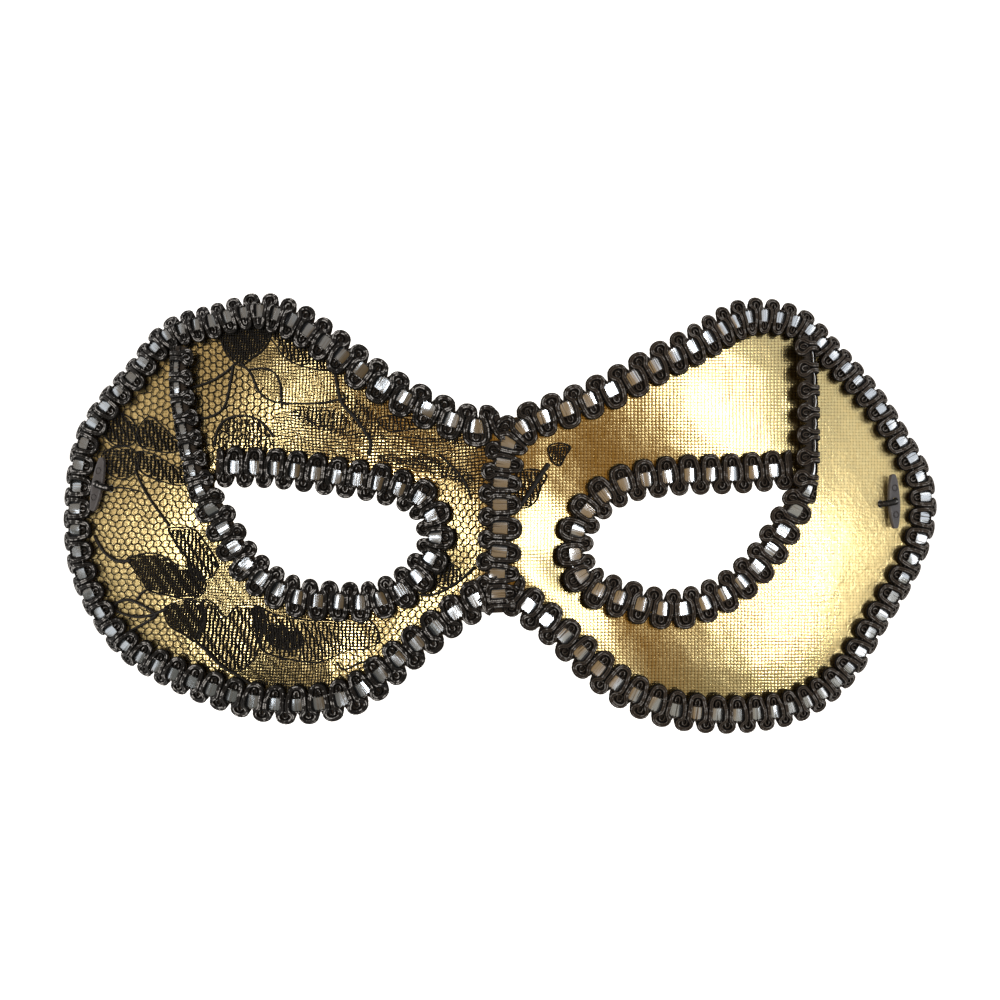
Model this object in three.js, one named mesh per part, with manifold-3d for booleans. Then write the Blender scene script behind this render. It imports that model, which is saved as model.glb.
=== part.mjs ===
// A masquerade eye mask, lying face up: a thin moulded shell under gold cloth, black lace over one half,
// black gimp braid round every edge and seam, and a round elastic held by a small toggle at each temple.
// Millimetres. X runs across the face, +Y towards the brow, +Z out of the face. The mask rests on z = 0.
import * as THREE from "three";
import { mergeVertices } from "three/addons/utils/BufferGeometryUtils.js";
import Module from "manifold-3d";

const wasm = await Module();
wasm.setup();

// Driving dimensions
const crownHeight = 32.1; // shell front above the table, at the middle of the brow
const archDepth = 30; // how far the temples fall back from there
const archPower = 2.4; // how late across the face they fall
const templeReach = 85.8; // middle line to the furthest point of the edge braid
const templeRound = { depth: 13, height: 26 }; // how the temple's edge rounds off above and below
const edgeLean = { brow: 6, cheek: 4.5, height: 43, power: 4 }; // how far the lobes turn back above and below
const noseRidge = { top: 2.2, bottom: 5.5, halfWidth: 11, from: 12, to: -14 };
const eyeSocket = { depth: 2, across: 37, up: -4, halfWidth: 22, halfHeight: 12 };

const shellThickness = 1;
const clothThickness = 0.3;
const layerGap = 0.1; // between the shell, the cloth and the lace
const laceThickness = 0.25;
const touchGap = 0.3; // between a braid and what it lies on or meets
const braidBase = clothThickness + laceThickness + 2 * layerGap + touchGap; // its underside above the shell

const braid = { width: 7.8, valley: 4.6, thickness: 1.9, window: 0.4, pitch: 4.6, gatheredPitch: 3.3, edge: 0.9 };
const gathered = { from: 27, to: 37 }; // heights between which the braid is pushed together round the brow
const braidTop = braidBase + braid.thickness;
const edgeOverhang = 1.6; // braid's middle line to the shell's edge
const edgeTurn = 2; // braid's middle line to where it turns over that edge, measured along the face
const edgeRoll = 30; // degrees it turns down there at the temples
const dropRoll = 2.1; // radius of the half tube that an eye braid is rolled to on its short upright run
const dropTurn = { left: -8, right: -34 }; // degrees that run faces towards the temple
const dropPress = 0.45; // share of its thickness that the rolled run loses
const dropFlat = 0.4; // share of its height that the rolled run loses under the thread that holds it down

const clothTop = layerGap + clothThickness;
const toggleHeight = braidBase;
const toggle = { length: 11, width: 2.8, thickness: 1, endWidth: 0.9, hole: 0.8, dimple: 0.6, dimpleAt: 2.7 };
const elastic = { diameter: 1.2, shellHole: 2.4 };

// Middle lines of the braids, as seen from the front: [x, y]
const leftEdge = [
  [-3.2, -16.6], [-8.3, -19.3], [-15.6, -25.3], [-22.3, -31.1], [-29.7, -36.8], [-40, -38.9], [-51.3, -37.9],
  [-67.4, -32.2], [-76.7, -26.7], [-82.1, -19.5], [-85.5, -11.2], [-86.3, 0], [-84.3, 15.2], [-79.7, 22.5],
  [-74.4, 28.2], [-67.4, 36.2], [-58.3, 38.9], [-48.9, 41], [-41.8, 38.9], [-34.6, 34], [-26.8, 27.9],
  [-17.7, 22.3], [-8.1, 18], [-3.6, 17.2],
];
const rightEdge = [
  [4.6, -17.2], [12, -23.4], [18.2, -29.8], [25.2, -35.5], [33.5, -39.4], [42.7, -40.8], [51.5, -40.8],
  [59.9, -39.4], [66.2, -36.2], [71.6, -31], [76.3, -23.2], [82.4, -13.3], [85.8, -4.9], [86.6, 2.4], [85.4, 8.2],
  [81.1, 15.8], [76.7, 22.5], [66.2, 33.8], [61.6, 38.1], [55.2, 39.9], [49.6, 39.5], [40, 34.1],
  [32.2, 30.1], [23.9, 25.4], [14.7, 21.2], [6.2, 17.9],
];
const noseRun = [[2.6, 15.3], [1.3, 12.1], [0.2, 5.3], [0.2, -3.7], [-0.6, -12.9], [-0.2, -20]]; // on from there
const leftEye = [
  [-55.9, -3], [-50.5, -11], [-42.6, -16.3], [-33.2, -17.7], [-24.7, -17.4], [-17.4, -13.2], [-13.2, -5.6],
  [-15.6, 2.1], [-23.1, 5.4], [-32.2, 6.9], [-45.7, 8.8], [-57.5, 9.2],
];
const leftDrop = [[-64.1, 33.4], [-64.3, 26], [-62.8, 16.3], [-60.2, 5.9]];
const rightEye = [
  [57, -4], [51.8, -11.1], [45, -16.4], [36, -19.3], [25.8, -17.4], [17.5, -13.5], [15.4, -7], [17.3, -0.7],
  [23.8, 4.9], [33.6, 7], [48.2, 7.8], [59.5, 8.8],
];
const rightDrop = [[61.6, 35.4], [62.2, 27.6], [62.3, 18.2], [62, 8.1], [60.9, 3.7]];

// Toggles: [x, y] of the middle, and the lean of the long axis from upright
const toggles = [
  { side: "left", at: [-80.5, 5.6], lean: -9.5, hole: [-78.2, 4.8] },
  { side: "right", at: [79, 2.2], lean: 2, hole: [76.7, 1.7] },
];

// Elastic behind the mask, from the left temple's hole to the right one's: [x, y], lying on the table, or
// [x, y, z] on its way down to it
const elasticLying = elastic.diameter / 2 + 0.1;
const elasticRoute = [
  [-73.5, 8.5, 3.4], [-71.5, 14, 1.4], [-68, 20, 0.8], [-63, 23.5], [-59, 20], [-60, 11], [-63.5, 1],
  [-64, -9], [-60, -19], [-52, -26], [-41, -29], [-29, -26], [-18, -19], [-8, -9], [0, 1], [9, 11.5],
  [21, 18], [35, 22], [48, 26], [58, 27.5], [66, 23, 0.8], [70, 15.5, 1.4], [72, 8.5, 3.4],
];

const gridStep = { x: 10, noseX: 5, nose: 15, y: 12 };
const faceReach = { x: 92, y: 48 };

const smooth = (from, to, v) => THREE.MathUtils.smoothstep((v - from) / (to - from), 0, 1);

// Height of the shell's front over the point (x, y): an arch across the face that falls late towards the
// temples, a ridge down the nose, and a hollow round each eye.
function faceHeight(x, y) {
  const reach = templeReach - (templeRound.depth * y * y) / (y * y + templeRound.height ** 2);
  const arch = archDepth * (Math.abs(x) / reach) ** archPower;
  const ridge = THREE.MathUtils.lerp(noseRidge.top, noseRidge.bottom, smooth(noseRidge.from, noseRidge.to, y));
  const nose = ridge * Math.exp(-((x / noseRidge.halfWidth) ** 2));
  const out = (Math.abs(x) - eyeSocket.across) / eyeSocket.halfWidth;
  const up = (y - eyeSocket.up) / eyeSocket.halfHeight;
  const socket = eyeSocket.depth * Math.exp(-out * out - up * up);
  const lean = (y > 0 ? edgeLean.brow : edgeLean.cheek) * (Math.abs(y) / edgeLean.height) ** edgeLean.power;
  return crownHeight - arch + nose - socket - lean;
}

// The outward unit normal of the shell's front.
function faceNormal(x, y) {
  const d = 0.05;
  const dx = (faceHeight(x + d, y) - faceHeight(x - d, y)) / (2 * d);
  const dy = (faceHeight(x, y + d) - faceHeight(x, y - d)) / (2 * d);
  return new THREE.Vector3(-dx, -dy, 1).normalize();
}

// The point at a height above the shell's front, measured along its normal.
function onFace(x, y, height) {
  return new THREE.Vector3(x, y, faceHeight(x, y)).addScaledVector(faceNormal(x, y), height);
}

// The foot on the shell of what shows at (x, y) when it stands at a height above the shell.
function footUnder(x, y, height) {
  const n = faceNormal(x, y);
  return new THREE.Vector3(x - height * n.x, y - height * n.y, 0);
}

// The point that shows at (x, y) and stands at a height above the shell.
function showing(x, y, height) {
  const foot = footUnder(x, y, height);
  return onFace(foot.x, foot.y, height);
}

const curveThrough = (points, closed = false) =>
  new THREE.CatmullRomCurve3(points.map(([x, y]) => new THREE.Vector3(x, y, 0)), closed, "centripetal");

// The closed line on the shell beside a braid's middle line: to the right of the way it runs if by is above 0.
function sideLine(points, count, by) {
  const curve = curveThrough(points, true);
  return curve.getSpacedPoints(count).slice(0, count).map((p, i) => {
    const t = curve.getTangentAt(i / count);
    const foot = footUnder(p.x + t.y * by, p.y - t.x * by, braidTop);
    return new THREE.Vector2(foot.x, foot.y);
  });
}

function manifoldOf(geometry) {
  const bare = geometry.clone();
  bare.deleteAttribute("normal");
  bare.deleteAttribute("uv");
  const merged = mergeVertices(bare, 1e-4);
  return new wasm.Manifold(
    new wasm.Mesh({
      numProp: 3,
      vertProperties: merged.attributes.position.array,
      triVerts: new Uint32Array(merged.index.array),
    }),
  );
}

function geometryOf(solid) {
  const mesh = solid.getMesh();
  const geometry = new THREE.BufferGeometry();
  geometry.setAttribute("position", new THREE.BufferAttribute(mesh.vertProperties.slice(), 3));
  geometry.setIndex(new THREE.BufferAttribute(mesh.triVerts.slice(), 1));
  geometry.computeVertexNormals();
  return geometry;
}

// A closed solid from rings of points that all have the same number: each joins the next, the ends are capped.
function ringSolid(rings) {
  const n = rings[0].length;
  const faces = [];
  for (let i = 0; i + 1 < rings.length; i++)
    for (let j = 0; j < n; j++) {
      const a = i * n + j;
      const b = i * n + ((j + 1) % n);
      faces.push(a, a + n, b, b, a + n, b + n);
    }
  const last = (rings.length - 1) * n;
  for (let j = 1; j + 1 < n; j++) faces.push(0, j, j + 1, last, last + j + 1, last + j);
  const geometry = new THREE.BufferGeometry().setFromPoints(rings.flat());
  geometry.setIndex(faces);
  geometry.computeVertexNormals();
  return geometry;
}

// A sheet over the whole face between two heights above the shell's front, to be cut to an outline.
function faceSlab(low, high) {
  const xs = [];
  for (let x = -faceReach.x; x < -gridStep.nose - 1; x += gridStep.x) xs.push(x);
  for (let x = -gridStep.nose; x < 0; x += gridStep.noseX) xs.push(x);
  const across = [...xs, 0, ...xs.map((x) => -x).reverse()];
  const rows = Math.round((2 * faceReach.y) / gridStep.y);
  const rings = across.map((x) => {
    const line = (height) =>
      Array.from({ length: rows + 1 }, (_, j) => {
        const y = -faceReach.y + (2 * faceReach.y * j) / rows;
        const n = faceNormal(x, y);
        return new THREE.Vector3(x, y, faceHeight(x, y) + height / n.z);
      });
    return [...line(low), ...line(high).reverse()];
  });
  const n = rings[0].length;
  const half = n / 2;
  const faces = [];
  for (let i = 0; i + 1 < rings.length; i++)
    for (let j = 0; j < n; j++) {
      const a = i * n + j;
      const b = i * n + ((j + 1) % n);
      if (j < half) faces.push(a, b, a + n, b, b + n, a + n);
      else faces.push(a, b, b + n, a, b + n, a + n);
    }
  const last = (rings.length - 1) * n;
  for (let j = 0; j + 1 < half; j++) {
    const [a, b, c, d] = [j, j + 1, n - 2 - j, n - 1 - j];
    faces.push(a, c, b, a, d, c, last + a, last + b, last + c, last + a, last + c, last + d);
  }
  const geometry = new THREE.BufferGeometry().setFromPoints(rings.flat());
  geometry.setIndex(faces);
  return manifoldOf(geometry);
}

// An upright cutter of the outline's shape, from the table up, so that a rim cut by it rests there on a flat.
function cutter(outline) {
  const depth = 2 * crownHeight;
  return manifoldOf(new THREE.ExtrudeGeometry(new THREE.Shape(outline), { depth, bevelEnabled: false }));
}

// The hole for the elastic, square to the shell.
function elasticHole(hole) {
  const { x, y } = footUnder(...hole, clothTop);
  const drill = new THREE.CylinderGeometry(elastic.shellHole / 2, elastic.shellHole / 2, 12, 8);
  drill.applyQuaternion(new THREE.Quaternion().setFromUnitVectors(new THREE.Vector3(0, 1, 0), faceNormal(x, y)));
  return manifoldOf(drill.translate(x, y, faceHeight(x, y)));
}

// Outlines of the shell, of the lace's half of it, and of the two eye openings
const wholeEdge = [...leftEdge.slice(0, -1).reverse(), ...rightEdge];
const shellOutline = sideLine(wholeEdge, 80, edgeOverhang);
const eyeInset = 1.9; // braid's middle line to the edge of the opening in the shell
const leftOpening = sideLine([...leftEye, leftDrop.at(-1)], 26, -eyeInset);
const rightOpening = sideLine([...rightEye, rightDrop.at(-1)], 26, eyeInset);
const laceSide = [[-95, -50], [-1.2, -50], [-1.2, 50], [-95, 50]].map(([x, y]) => new THREE.Vector2(x, y));

const openings = [leftOpening, rightOpening].map(cutter);
const elasticHoles = toggles.map((t) => elasticHole(t.hole));
const maskOutline = cutter(shellOutline);

// A layer of the face: the slab between two heights, cut to the outline and opened at the eyes and the holes.
function faceLayer(low, high, side = null) {
  let layer = faceSlab(low, high).intersect(maskOutline);
  if (side) layer = layer.intersect(cutter(side));
  for (const hole of [...openings, ...elasticHoles]) layer = layer.subtract(hole);
  return geometryOf(layer);
}

// Where a braid sits: its foot on the shell, so that its top shows on its middle line, and the directions
// across it and out of the face.
function braidFrame(curve, u, outward) {
  const top = curve.getPointAt(u);
  const t = curve.getTangentAt(u);
  const p = footUnder(top.x, top.y, braidTop);
  const normal = faceNormal(p.x, p.y);
  const along = new THREE.Vector3(t.x, t.y, 0);
  along.addScaledVector(normal, -along.dot(normal)).normalize();
  const across = new THREE.Vector3().crossVectors(along, normal).multiplyScalar(outward);
  return { p, normal, across };
}

// Ends of the braid's units along its middle line, closer together where it is gathered round the brow.
function braidStations(curve, from, to, perUnit) {
  const fine = 1200;
  const phases = [0];
  let before = curve.getPointAt(from);
  for (let i = 1; i <= fine; i++) {
    const p = curve.getPointAt(from + ((to - from) * i) / fine);
    const rise = faceHeight(p.x, p.y) - faceHeight(before.x, before.y);
    const pitch = THREE.MathUtils.lerp(braid.pitch, braid.gatheredPitch, smooth(gathered.from, gathered.to, p.y));
    phases.push(phases.at(-1) + Math.hypot(p.x - before.x, p.y - before.y, rise) / pitch);
    before = p;
  }
  const count = Math.round(phases.at(-1)) * perUnit;
  const stations = [];
  let k = 0;
  for (let i = 0; i <= count; i++) {
    const phase = (phases.at(-1) * i) / count;
    while (k < fine && phases[k + 1] < phase) k++;
    const share = k < fine ? (phase - phases[k]) / (phases[k + 1] - phases[k]) : 0;
    stations.push({ u: from + ((to - from) * Math.min(fine, k + share)) / fine, turn: (i % perUnit) / perUnit });
  }
  return stations;
}

// A braid along a middle line: a band whose two edges are scalloped half a unit apart, thinner at the edges and
// dipping between the bands that cross it. outward is 1 where its right side is the outer one and -1 where the
// left is. Past the reach where the shell ends, an edge braid turns down by up to edgeRoll. rolledAt(u) is how
// far it is rolled about its length, from 0 to 1, and facing is how many degrees it then faces outwards.
function braidSolid(points, { outward = 1, onEdge = false, rolledAt = () => 0, facing = 0, from = 0, to = 1 } = {}) {
  const curve = curveThrough(points);
  curve.arcLengthDivisions = 800;
  const middle = (braid.width + braid.valley) / 4;
  const swing = (braid.width - braid.valley) / 4;
  const half = braid.width / 2;
  const rings = braidStations(curve, from, to, 2).map(({ u, turn }) => {
    const { p, across } = braidFrame(curve, u, outward);
    const roll = onEdge ? THREE.MathUtils.degToRad(edgeRoll) * rollAt(p) : 0;
    const rolled = rolledAt(u);
    const bend = Math.max(rolled, 1e-3) / dropRoll;
    const faced = THREE.MathUtils.degToRad(facing) * rolled;
    const lowest = Math.min(Math.cos(faced - bend * half), Math.cos(faced + bend * half));
    const point = (reach, height) => {
      const past = Math.max(0, reach - edgeTurn);
      const wide = reach - past + past * Math.cos(roll);
      const high = (height - past * Math.sin(roll)) * (1 - dropPress * rolled);
      const angle = faced + bend * wide;
      const aside = (Math.sin(angle) - Math.sin(faced)) / bend + high * Math.sin(angle);
      const flat = p.clone().addScaledVector(across, aside);
      const round = (Math.cos(angle) - lowest) / bend + high * Math.cos(angle);
      const rise = round * (1 - dropFlat * rolled);
      const up = braidBase + (rolled > 0 ? Math.max(0, rise) : rise);
      const out = new THREE.Vector3(flat.x, flat.y, faceHeight(flat.x, flat.y));
      out.addScaledVector(faceNormal(flat.x, flat.y), up);
      out.z = Math.max(out.z, 0);
      return out;
    };
    const wave = Math.cos(2 * Math.PI * turn);
    const outer = middle + swing * wave;
    const inner = -(middle - swing * wave);
    const ring = [point(inner, 0), point(outer, 0), point(outer, braid.edge)];
    ring.push(point(0, braid.thickness - (braid.window * (1 - wave)) / 2), point(inner, braid.edge));
    if (onEdge) ring.splice(1, 0, point(edgeTurn, 0));
    return outward > 0 ? ring : ring.reverse();
  });
  return ringSolid(rings);
}

// The edge braid turns over the rim at the temples, and lies flat elsewhere.
const rollAt = (p) => smooth(45, 80, Math.abs(p.x));

// The toggle: a bar pointed at both ends, with a hole through its middle and a dimple above and below it.
function toggleGeometry() {
  const half = toggle.length / 2;
  const side = [[-toggle.endWidth / 2, -half], [toggle.endWidth / 2, -half], [toggle.width / 2, -1.8]];
  side.push([toggle.width / 2, 1.8], [toggle.endWidth / 2, half], [-toggle.endWidth / 2, half]);
  side.push([-toggle.width / 2, 1.8], [-toggle.width / 2, -1.8]);
  const outline = new THREE.Shape(side.map(([x, y]) => new THREE.Vector2(x, y)));
  outline.holes.push(new THREE.Path().absarc(0, 0, toggle.hole, 0, 2 * Math.PI, true));
  const bar = new THREE.ExtrudeGeometry(outline, { depth: toggle.thickness, bevelEnabled: false, curveSegments: 5 });
  let solid = manifoldOf(bar);
  for (const y of [-toggle.dimpleAt, toggle.dimpleAt]) {
    const dimple = new THREE.CylinderGeometry(toggle.dimple, toggle.dimple, toggle.thickness, 8).rotateX(Math.PI / 2);
    solid = solid.subtract(manifoldOf(dimple.translate(0, y, 1.3 * toggle.thickness)));
  }
  return geometryOf(solid);
}

// Sets a mesh on the face at [x, y], its own Z along the normal and its own Y leaning from upright.
function placeOnFace(mesh, [x, y], lean, height) {
  const normal = faceNormal(x, y);
  const up = new THREE.Vector3(0, 1, 0).applyAxisAngle(new THREE.Vector3(0, 0, 1), THREE.MathUtils.degToRad(lean));
  up.addScaledVector(normal, -up.dot(normal)).normalize();
  const right = new THREE.Vector3().crossVectors(up, normal);
  mesh.quaternion.setFromRotationMatrix(new THREE.Matrix4().makeBasis(right, up, normal));
  mesh.position.copy(showing(x, y, height));
}

// A round tube along a smooth line through the points.
function tube(points, steps, sides, tension = "centripetal") {
  const extrudePath = new THREE.CatmullRomCurve3(points, false, tension);
  const section = new THREE.Shape().absarc(0, 0, elastic.diameter / 2, 0, 2 * Math.PI);
  return new THREE.ExtrudeGeometry(section, { steps, extrudePath, curveSegments: sides / 2, bevelEnabled: false });
}

// The elastic's end on the front: out of the toggle's hole, over its side and down through the shell.
function loopGeometry({ at, hole }) {
  const top = toggleHeight + toggle.thickness;
  const start = footUnder(...at, toggleHeight);
  const end = footUnder(...hole, clothTop);
  const over = (share, height) => {
    const foot = start.clone().lerp(end, share);
    return onFace(foot.x, foot.y, height);
  };
  const rise = elastic.diameter / 2 + 0.2;
  const points = [over(0, toggleHeight + 0.3), over(0.02, top + 0.25), over(0.28, top + rise)];
  points.push(over(0.7, top + rise), over(0.99, top - 0.1), over(1, toggleHeight), over(1, -shellThickness - 0.4));
  return tube(points, 14, 8);
}

// The elastic behind the mask: from each hole down to the table, and along the route between.
function elasticGeometry() {
  const leave = ({ hole }, drop) => {
    const foot = footUnder(...hole, clothTop);
    return onFace(foot.x, foot.y, -shellThickness - 0.7 - drop);
  };
  const [left, right] = toggles;
  const route = elasticRoute.map(([x, y, z = elasticLying]) => new THREE.Vector3(x, y, z));
  return tube([leave(left, 0), leave(left, 1.5), ...route, leave(right, 1.5), leave(right, 0)], 76, 8);
}

const materials = {
  shell: { color: 0xe6e1d6, roughness: 0.6, metalness: 0 },
  gold: { color: 0xc9a04a, roughness: 0.35, metalness: 1 },
  lace: { color: 0x0d0b0b, roughness: 0.8, metalness: 0 },
  braid: { color: 0x1c1815, roughness: 0.6, metalness: 0 },
  toggle: { color: 0x6f6e70, roughness: 0.45, metalness: 0.2 },
  elastic: { color: 0x121010, roughness: 0.8, metalness: 0 },
};

const mask = new THREE.Group();
function add(name, geometry, material) {
  const mesh = new THREE.Mesh(geometry, new THREE.MeshStandardMaterial(materials[material]));
  mesh.name = name;
  mask.add(mesh);
  return mesh;
}

const laceLow = clothTop + layerGap;
add("mask_shell", faceLayer(-shellThickness, 0), "shell");
add("gold_cloth", faceLayer(layerGap, clothTop), "gold");
add("lace_cloth", faceLayer(laceLow, laceLow + laceThickness, laceSide), "lace");

add("left_edge_braid", braidSolid(leftEdge, { outward: -1, onEdge: true, from: 0.017 }), "braid");
add("right_edge_braid", braidSolid([...rightEdge, ...noseRun], { onEdge: true }), "braid");
const rolledAt = (u) => 1 - smooth(0.17, 0.26, u);
const eyeBraid = (points, outward, facing) =>
  braidSolid(points, { outward, rolledAt, facing, from: 0.03, to: 0.975 });
add("left_eye_braid", eyeBraid([...leftDrop, ...leftEye], -1, dropTurn.left), "braid");
add("right_eye_braid", eyeBraid([...rightDrop, ...rightEye], 1, dropTurn.right), "braid");

for (const t of toggles) {
  placeOnFace(add(t.side + "_toggle", toggleGeometry(), "toggle"), t.at, t.lean, toggleHeight);
  add(t.side + "_elastic_loop", loopGeometry(t), "elastic");
}
add("elastic_cord", elasticGeometry(), "elastic");

export default mask;
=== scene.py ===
"""The looks of a masquerade eye mask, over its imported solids.

The mask lies face up. A thin moulded shell carries gold metallic cloth, black lace covers one half of it, a
looped gimp braid over silver foil runs round every edge and down the nose, and a round elastic is held by a
small toggle at each temple. Lengths in the shape functions are millimetres, and meshes are made in metres.
X runs across the face, +Y towards the brow and +Z out of the face.
"""

import math

import bpy
import numpy as np
from bpy.props import FloatProperty, FloatVectorProperty, PointerProperty
from mathutils import Matrix, Vector


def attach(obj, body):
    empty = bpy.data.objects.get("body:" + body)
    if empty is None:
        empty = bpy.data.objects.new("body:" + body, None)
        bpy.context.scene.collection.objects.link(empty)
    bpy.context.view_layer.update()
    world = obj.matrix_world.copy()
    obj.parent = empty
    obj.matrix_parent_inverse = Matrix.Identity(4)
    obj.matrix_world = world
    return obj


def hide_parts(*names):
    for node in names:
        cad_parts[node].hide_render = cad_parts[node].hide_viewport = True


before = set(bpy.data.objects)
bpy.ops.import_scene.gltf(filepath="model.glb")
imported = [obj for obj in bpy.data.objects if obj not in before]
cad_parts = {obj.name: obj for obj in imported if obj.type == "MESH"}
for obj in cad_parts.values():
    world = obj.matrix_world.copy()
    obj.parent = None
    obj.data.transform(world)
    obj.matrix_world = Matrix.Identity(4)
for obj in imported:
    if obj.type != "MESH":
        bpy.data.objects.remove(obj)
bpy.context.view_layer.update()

bl_info = {
    "name": "Masquerade eye mask",
    "version": (1, 0, 0),
    "blender": (4, 5, 0),
    "location": "View3D > Sidebar > Mask",
    "description": "Builds the shell, cloth, lace, gimp braid, toggles and elastic of an eye mask",
    "category": "Object",
}

MM = 0.001
TINY = 1e-6

# The face, as the solids have it: heights, depths and runs, with x before y
CROWN_HEIGHT = 32.1
ARCH_DEPTH = 30
ARCH_POWER = 2.4
TEMPLE_REACH = 85.8
TEMPLE_ROUND = (13, 26)
BROW_LEAN = 6
CHEEK_LEAN = 4.5
LEAN_HEIGHT = 43
NOSE_RIDGE = (2.2, 5.5)
NOSE_RUN = (12, -14)
NOSE_HALF_WIDTH = 11
SOCKET_DEPTH = 2
SOCKET_CENTRE = (37, -4)
SOCKET_HALF = (22, 12)

# Layers over the shell's front: low, high
SHELL = (-1, 0)
CLOTH = (0.1, 0.4)
LACE_HALF_ENDS = -1.2
HALF_CENTRE = (36.5, -4)

# A braid's section, its roll past the shell's edge, and its drop from the brow
BRAID_BASE = 1.05
BRAID_TOP = 2.95
BRAID_HALF = 3.9
EDGE_OVERHANG = 1.6
EDGE_TURN = 2
EDGE_ROLL = 30
ROLL_RUN = (45, 80)
DROP_ROLL = 2.1
DROP_FLAT = 0.4
DROP_GATHER = 0.16
DROP_ASIDE = 0.5
DROP_LEAST = -0.2
DROP_END = (0.17, 0.26)
EYE_INSET = 1.9

# Middle lines of the braids as seen from the front
LEFT_EDGE = [
    (-3.2, -16.6), (-8.3, -19.3), (-15.6, -25.3), (-22.3, -31.1), (-29.7, -36.8), (-40, -38.9),
    (-51.3, -37.9), (-67.4, -32.2), (-76.7, -26.7), (-82.1, -19.5), (-85.5, -11.2), (-86.3, 0),
    (-84.3, 15.2), (-79.7, 22.5), (-74.4, 28.2), (-67.4, 36.2), (-58.3, 38.9), (-48.9, 41), (-41.8, 38.9),
    (-34.6, 34), (-26.8, 27.9), (-17.7, 22.3), (-8.1, 18), (-3.6, 17.2),
]
RIGHT_EDGE = [
    (4.6, -17.2), (12, -23.4), (18.2, -29.8), (25.2, -35.5), (33.5, -39.4), (42.7, -40.8), (51.5, -40.8),
    (59.9, -39.4), (66.2, -36.2), (71.6, -31), (76.3, -23.2), (82.4, -13.3), (85.8, -4.9), (86.6, 2.4),
    (85.4, 8.2), (81.1, 15.8), (76.7, 22.5), (66.2, 33.8), (61.6, 38.1), (55.2, 39.9), (49.6, 39.5),
    (40, 34.1), (32.2, 30.1), (23.9, 25.4), (14.7, 21.2), (6.2, 17.9),
]
NOSE_LINE = [(2.6, 15.3), (1.3, 12.1), (0.2, 5.3), (0.2, -3.7), (-0.6, -12.9), (-0.2, -20)]
LEFT_EYE = [
    (-55.9, -3), (-50.5, -11), (-42.6, -16.3), (-33.2, -17.7), (-24.7, -17.4), (-17.4, -13.2),
    (-13.2, -5.6), (-15.6, 2.1), (-23.1, 5.4), (-32.2, 6.9), (-45.7, 8.8), (-57.5, 9.2),
]
LEFT_DROP = [(-64.1, 33.4), (-64.3, 26), (-62.8, 16.3), (-60.2, 5.9)]
RIGHT_EYE = [
    (57, -4), (51.8, -11.1), (45, -16.4), (36, -19.3), (25.8, -17.4), (17.5, -13.5), (15.4, -7),
    (17.3, -0.7), (23.8, 4.9), (33.6, 7), (48.2, 7.8), (59.5, 8.8),
]
RIGHT_DROP = [(61.6, 35.4), (62.2, 27.6), (62.3, 18.2), (62, 8.1), (60.9, 3.7)]

# Each braid: its line, the side its outer loops are on, its units, and (share of its length, a unit's pitch).
# The eye braids are rolled where they drop from the brow: the way they face there, in degrees, and the share
# of the foil that still shows.
BRAIDS = {
    "left_edge_braid": {
        "line": [(-0.6, -16.6)] + LEFT_EDGE + [(0.4, 18.4)], "outward": -1, "units": 54, "on_edge": True,
        "pitches": [(0, 5), (0.3, 4.7), (0.34, 4.2), (0.5, 4.5), (0.6, 4.2), (0.67, 3.6), (0.76, 3.6),
                    (0.82, 4.6), (0.88, 5.2), (1, 5.2)],
    },
    "right_edge_braid": {
        "line": [(2.4, -15.8)] + RIGHT_EDGE + NOSE_LINE, "outward": 1, "units": 64, "on_edge": True,
        "pitches": [(0, 4.8), (0.2, 4.4), (0.27, 3.6), (0.33, 4.1), (0.42, 4.3), (0.55, 3.6), (0.68, 3.4),
                    (0.76, 5), (0.86, 4.6), (0.89, 3.6), (0.94, 4.8), (1, 3.5)],
    },
    "left_eye_braid": {
        "line": LEFT_DROP + LEFT_EYE, "outward": -1, "units": 34, "pitches": [(0, 4.7), (1, 4.7)],
        "rolled": True, "facing": -8, "drop_foil": 0.45,
    },
    "right_eye_braid": {
        "line": RIGHT_DROP + RIGHT_EYE, "outward": 1, "units": 33, "pitches": [(0, 4.7), (1, 4.7)],
        "rolled": True, "facing": -34, "drop_foil": 0.04,
    },
}

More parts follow.
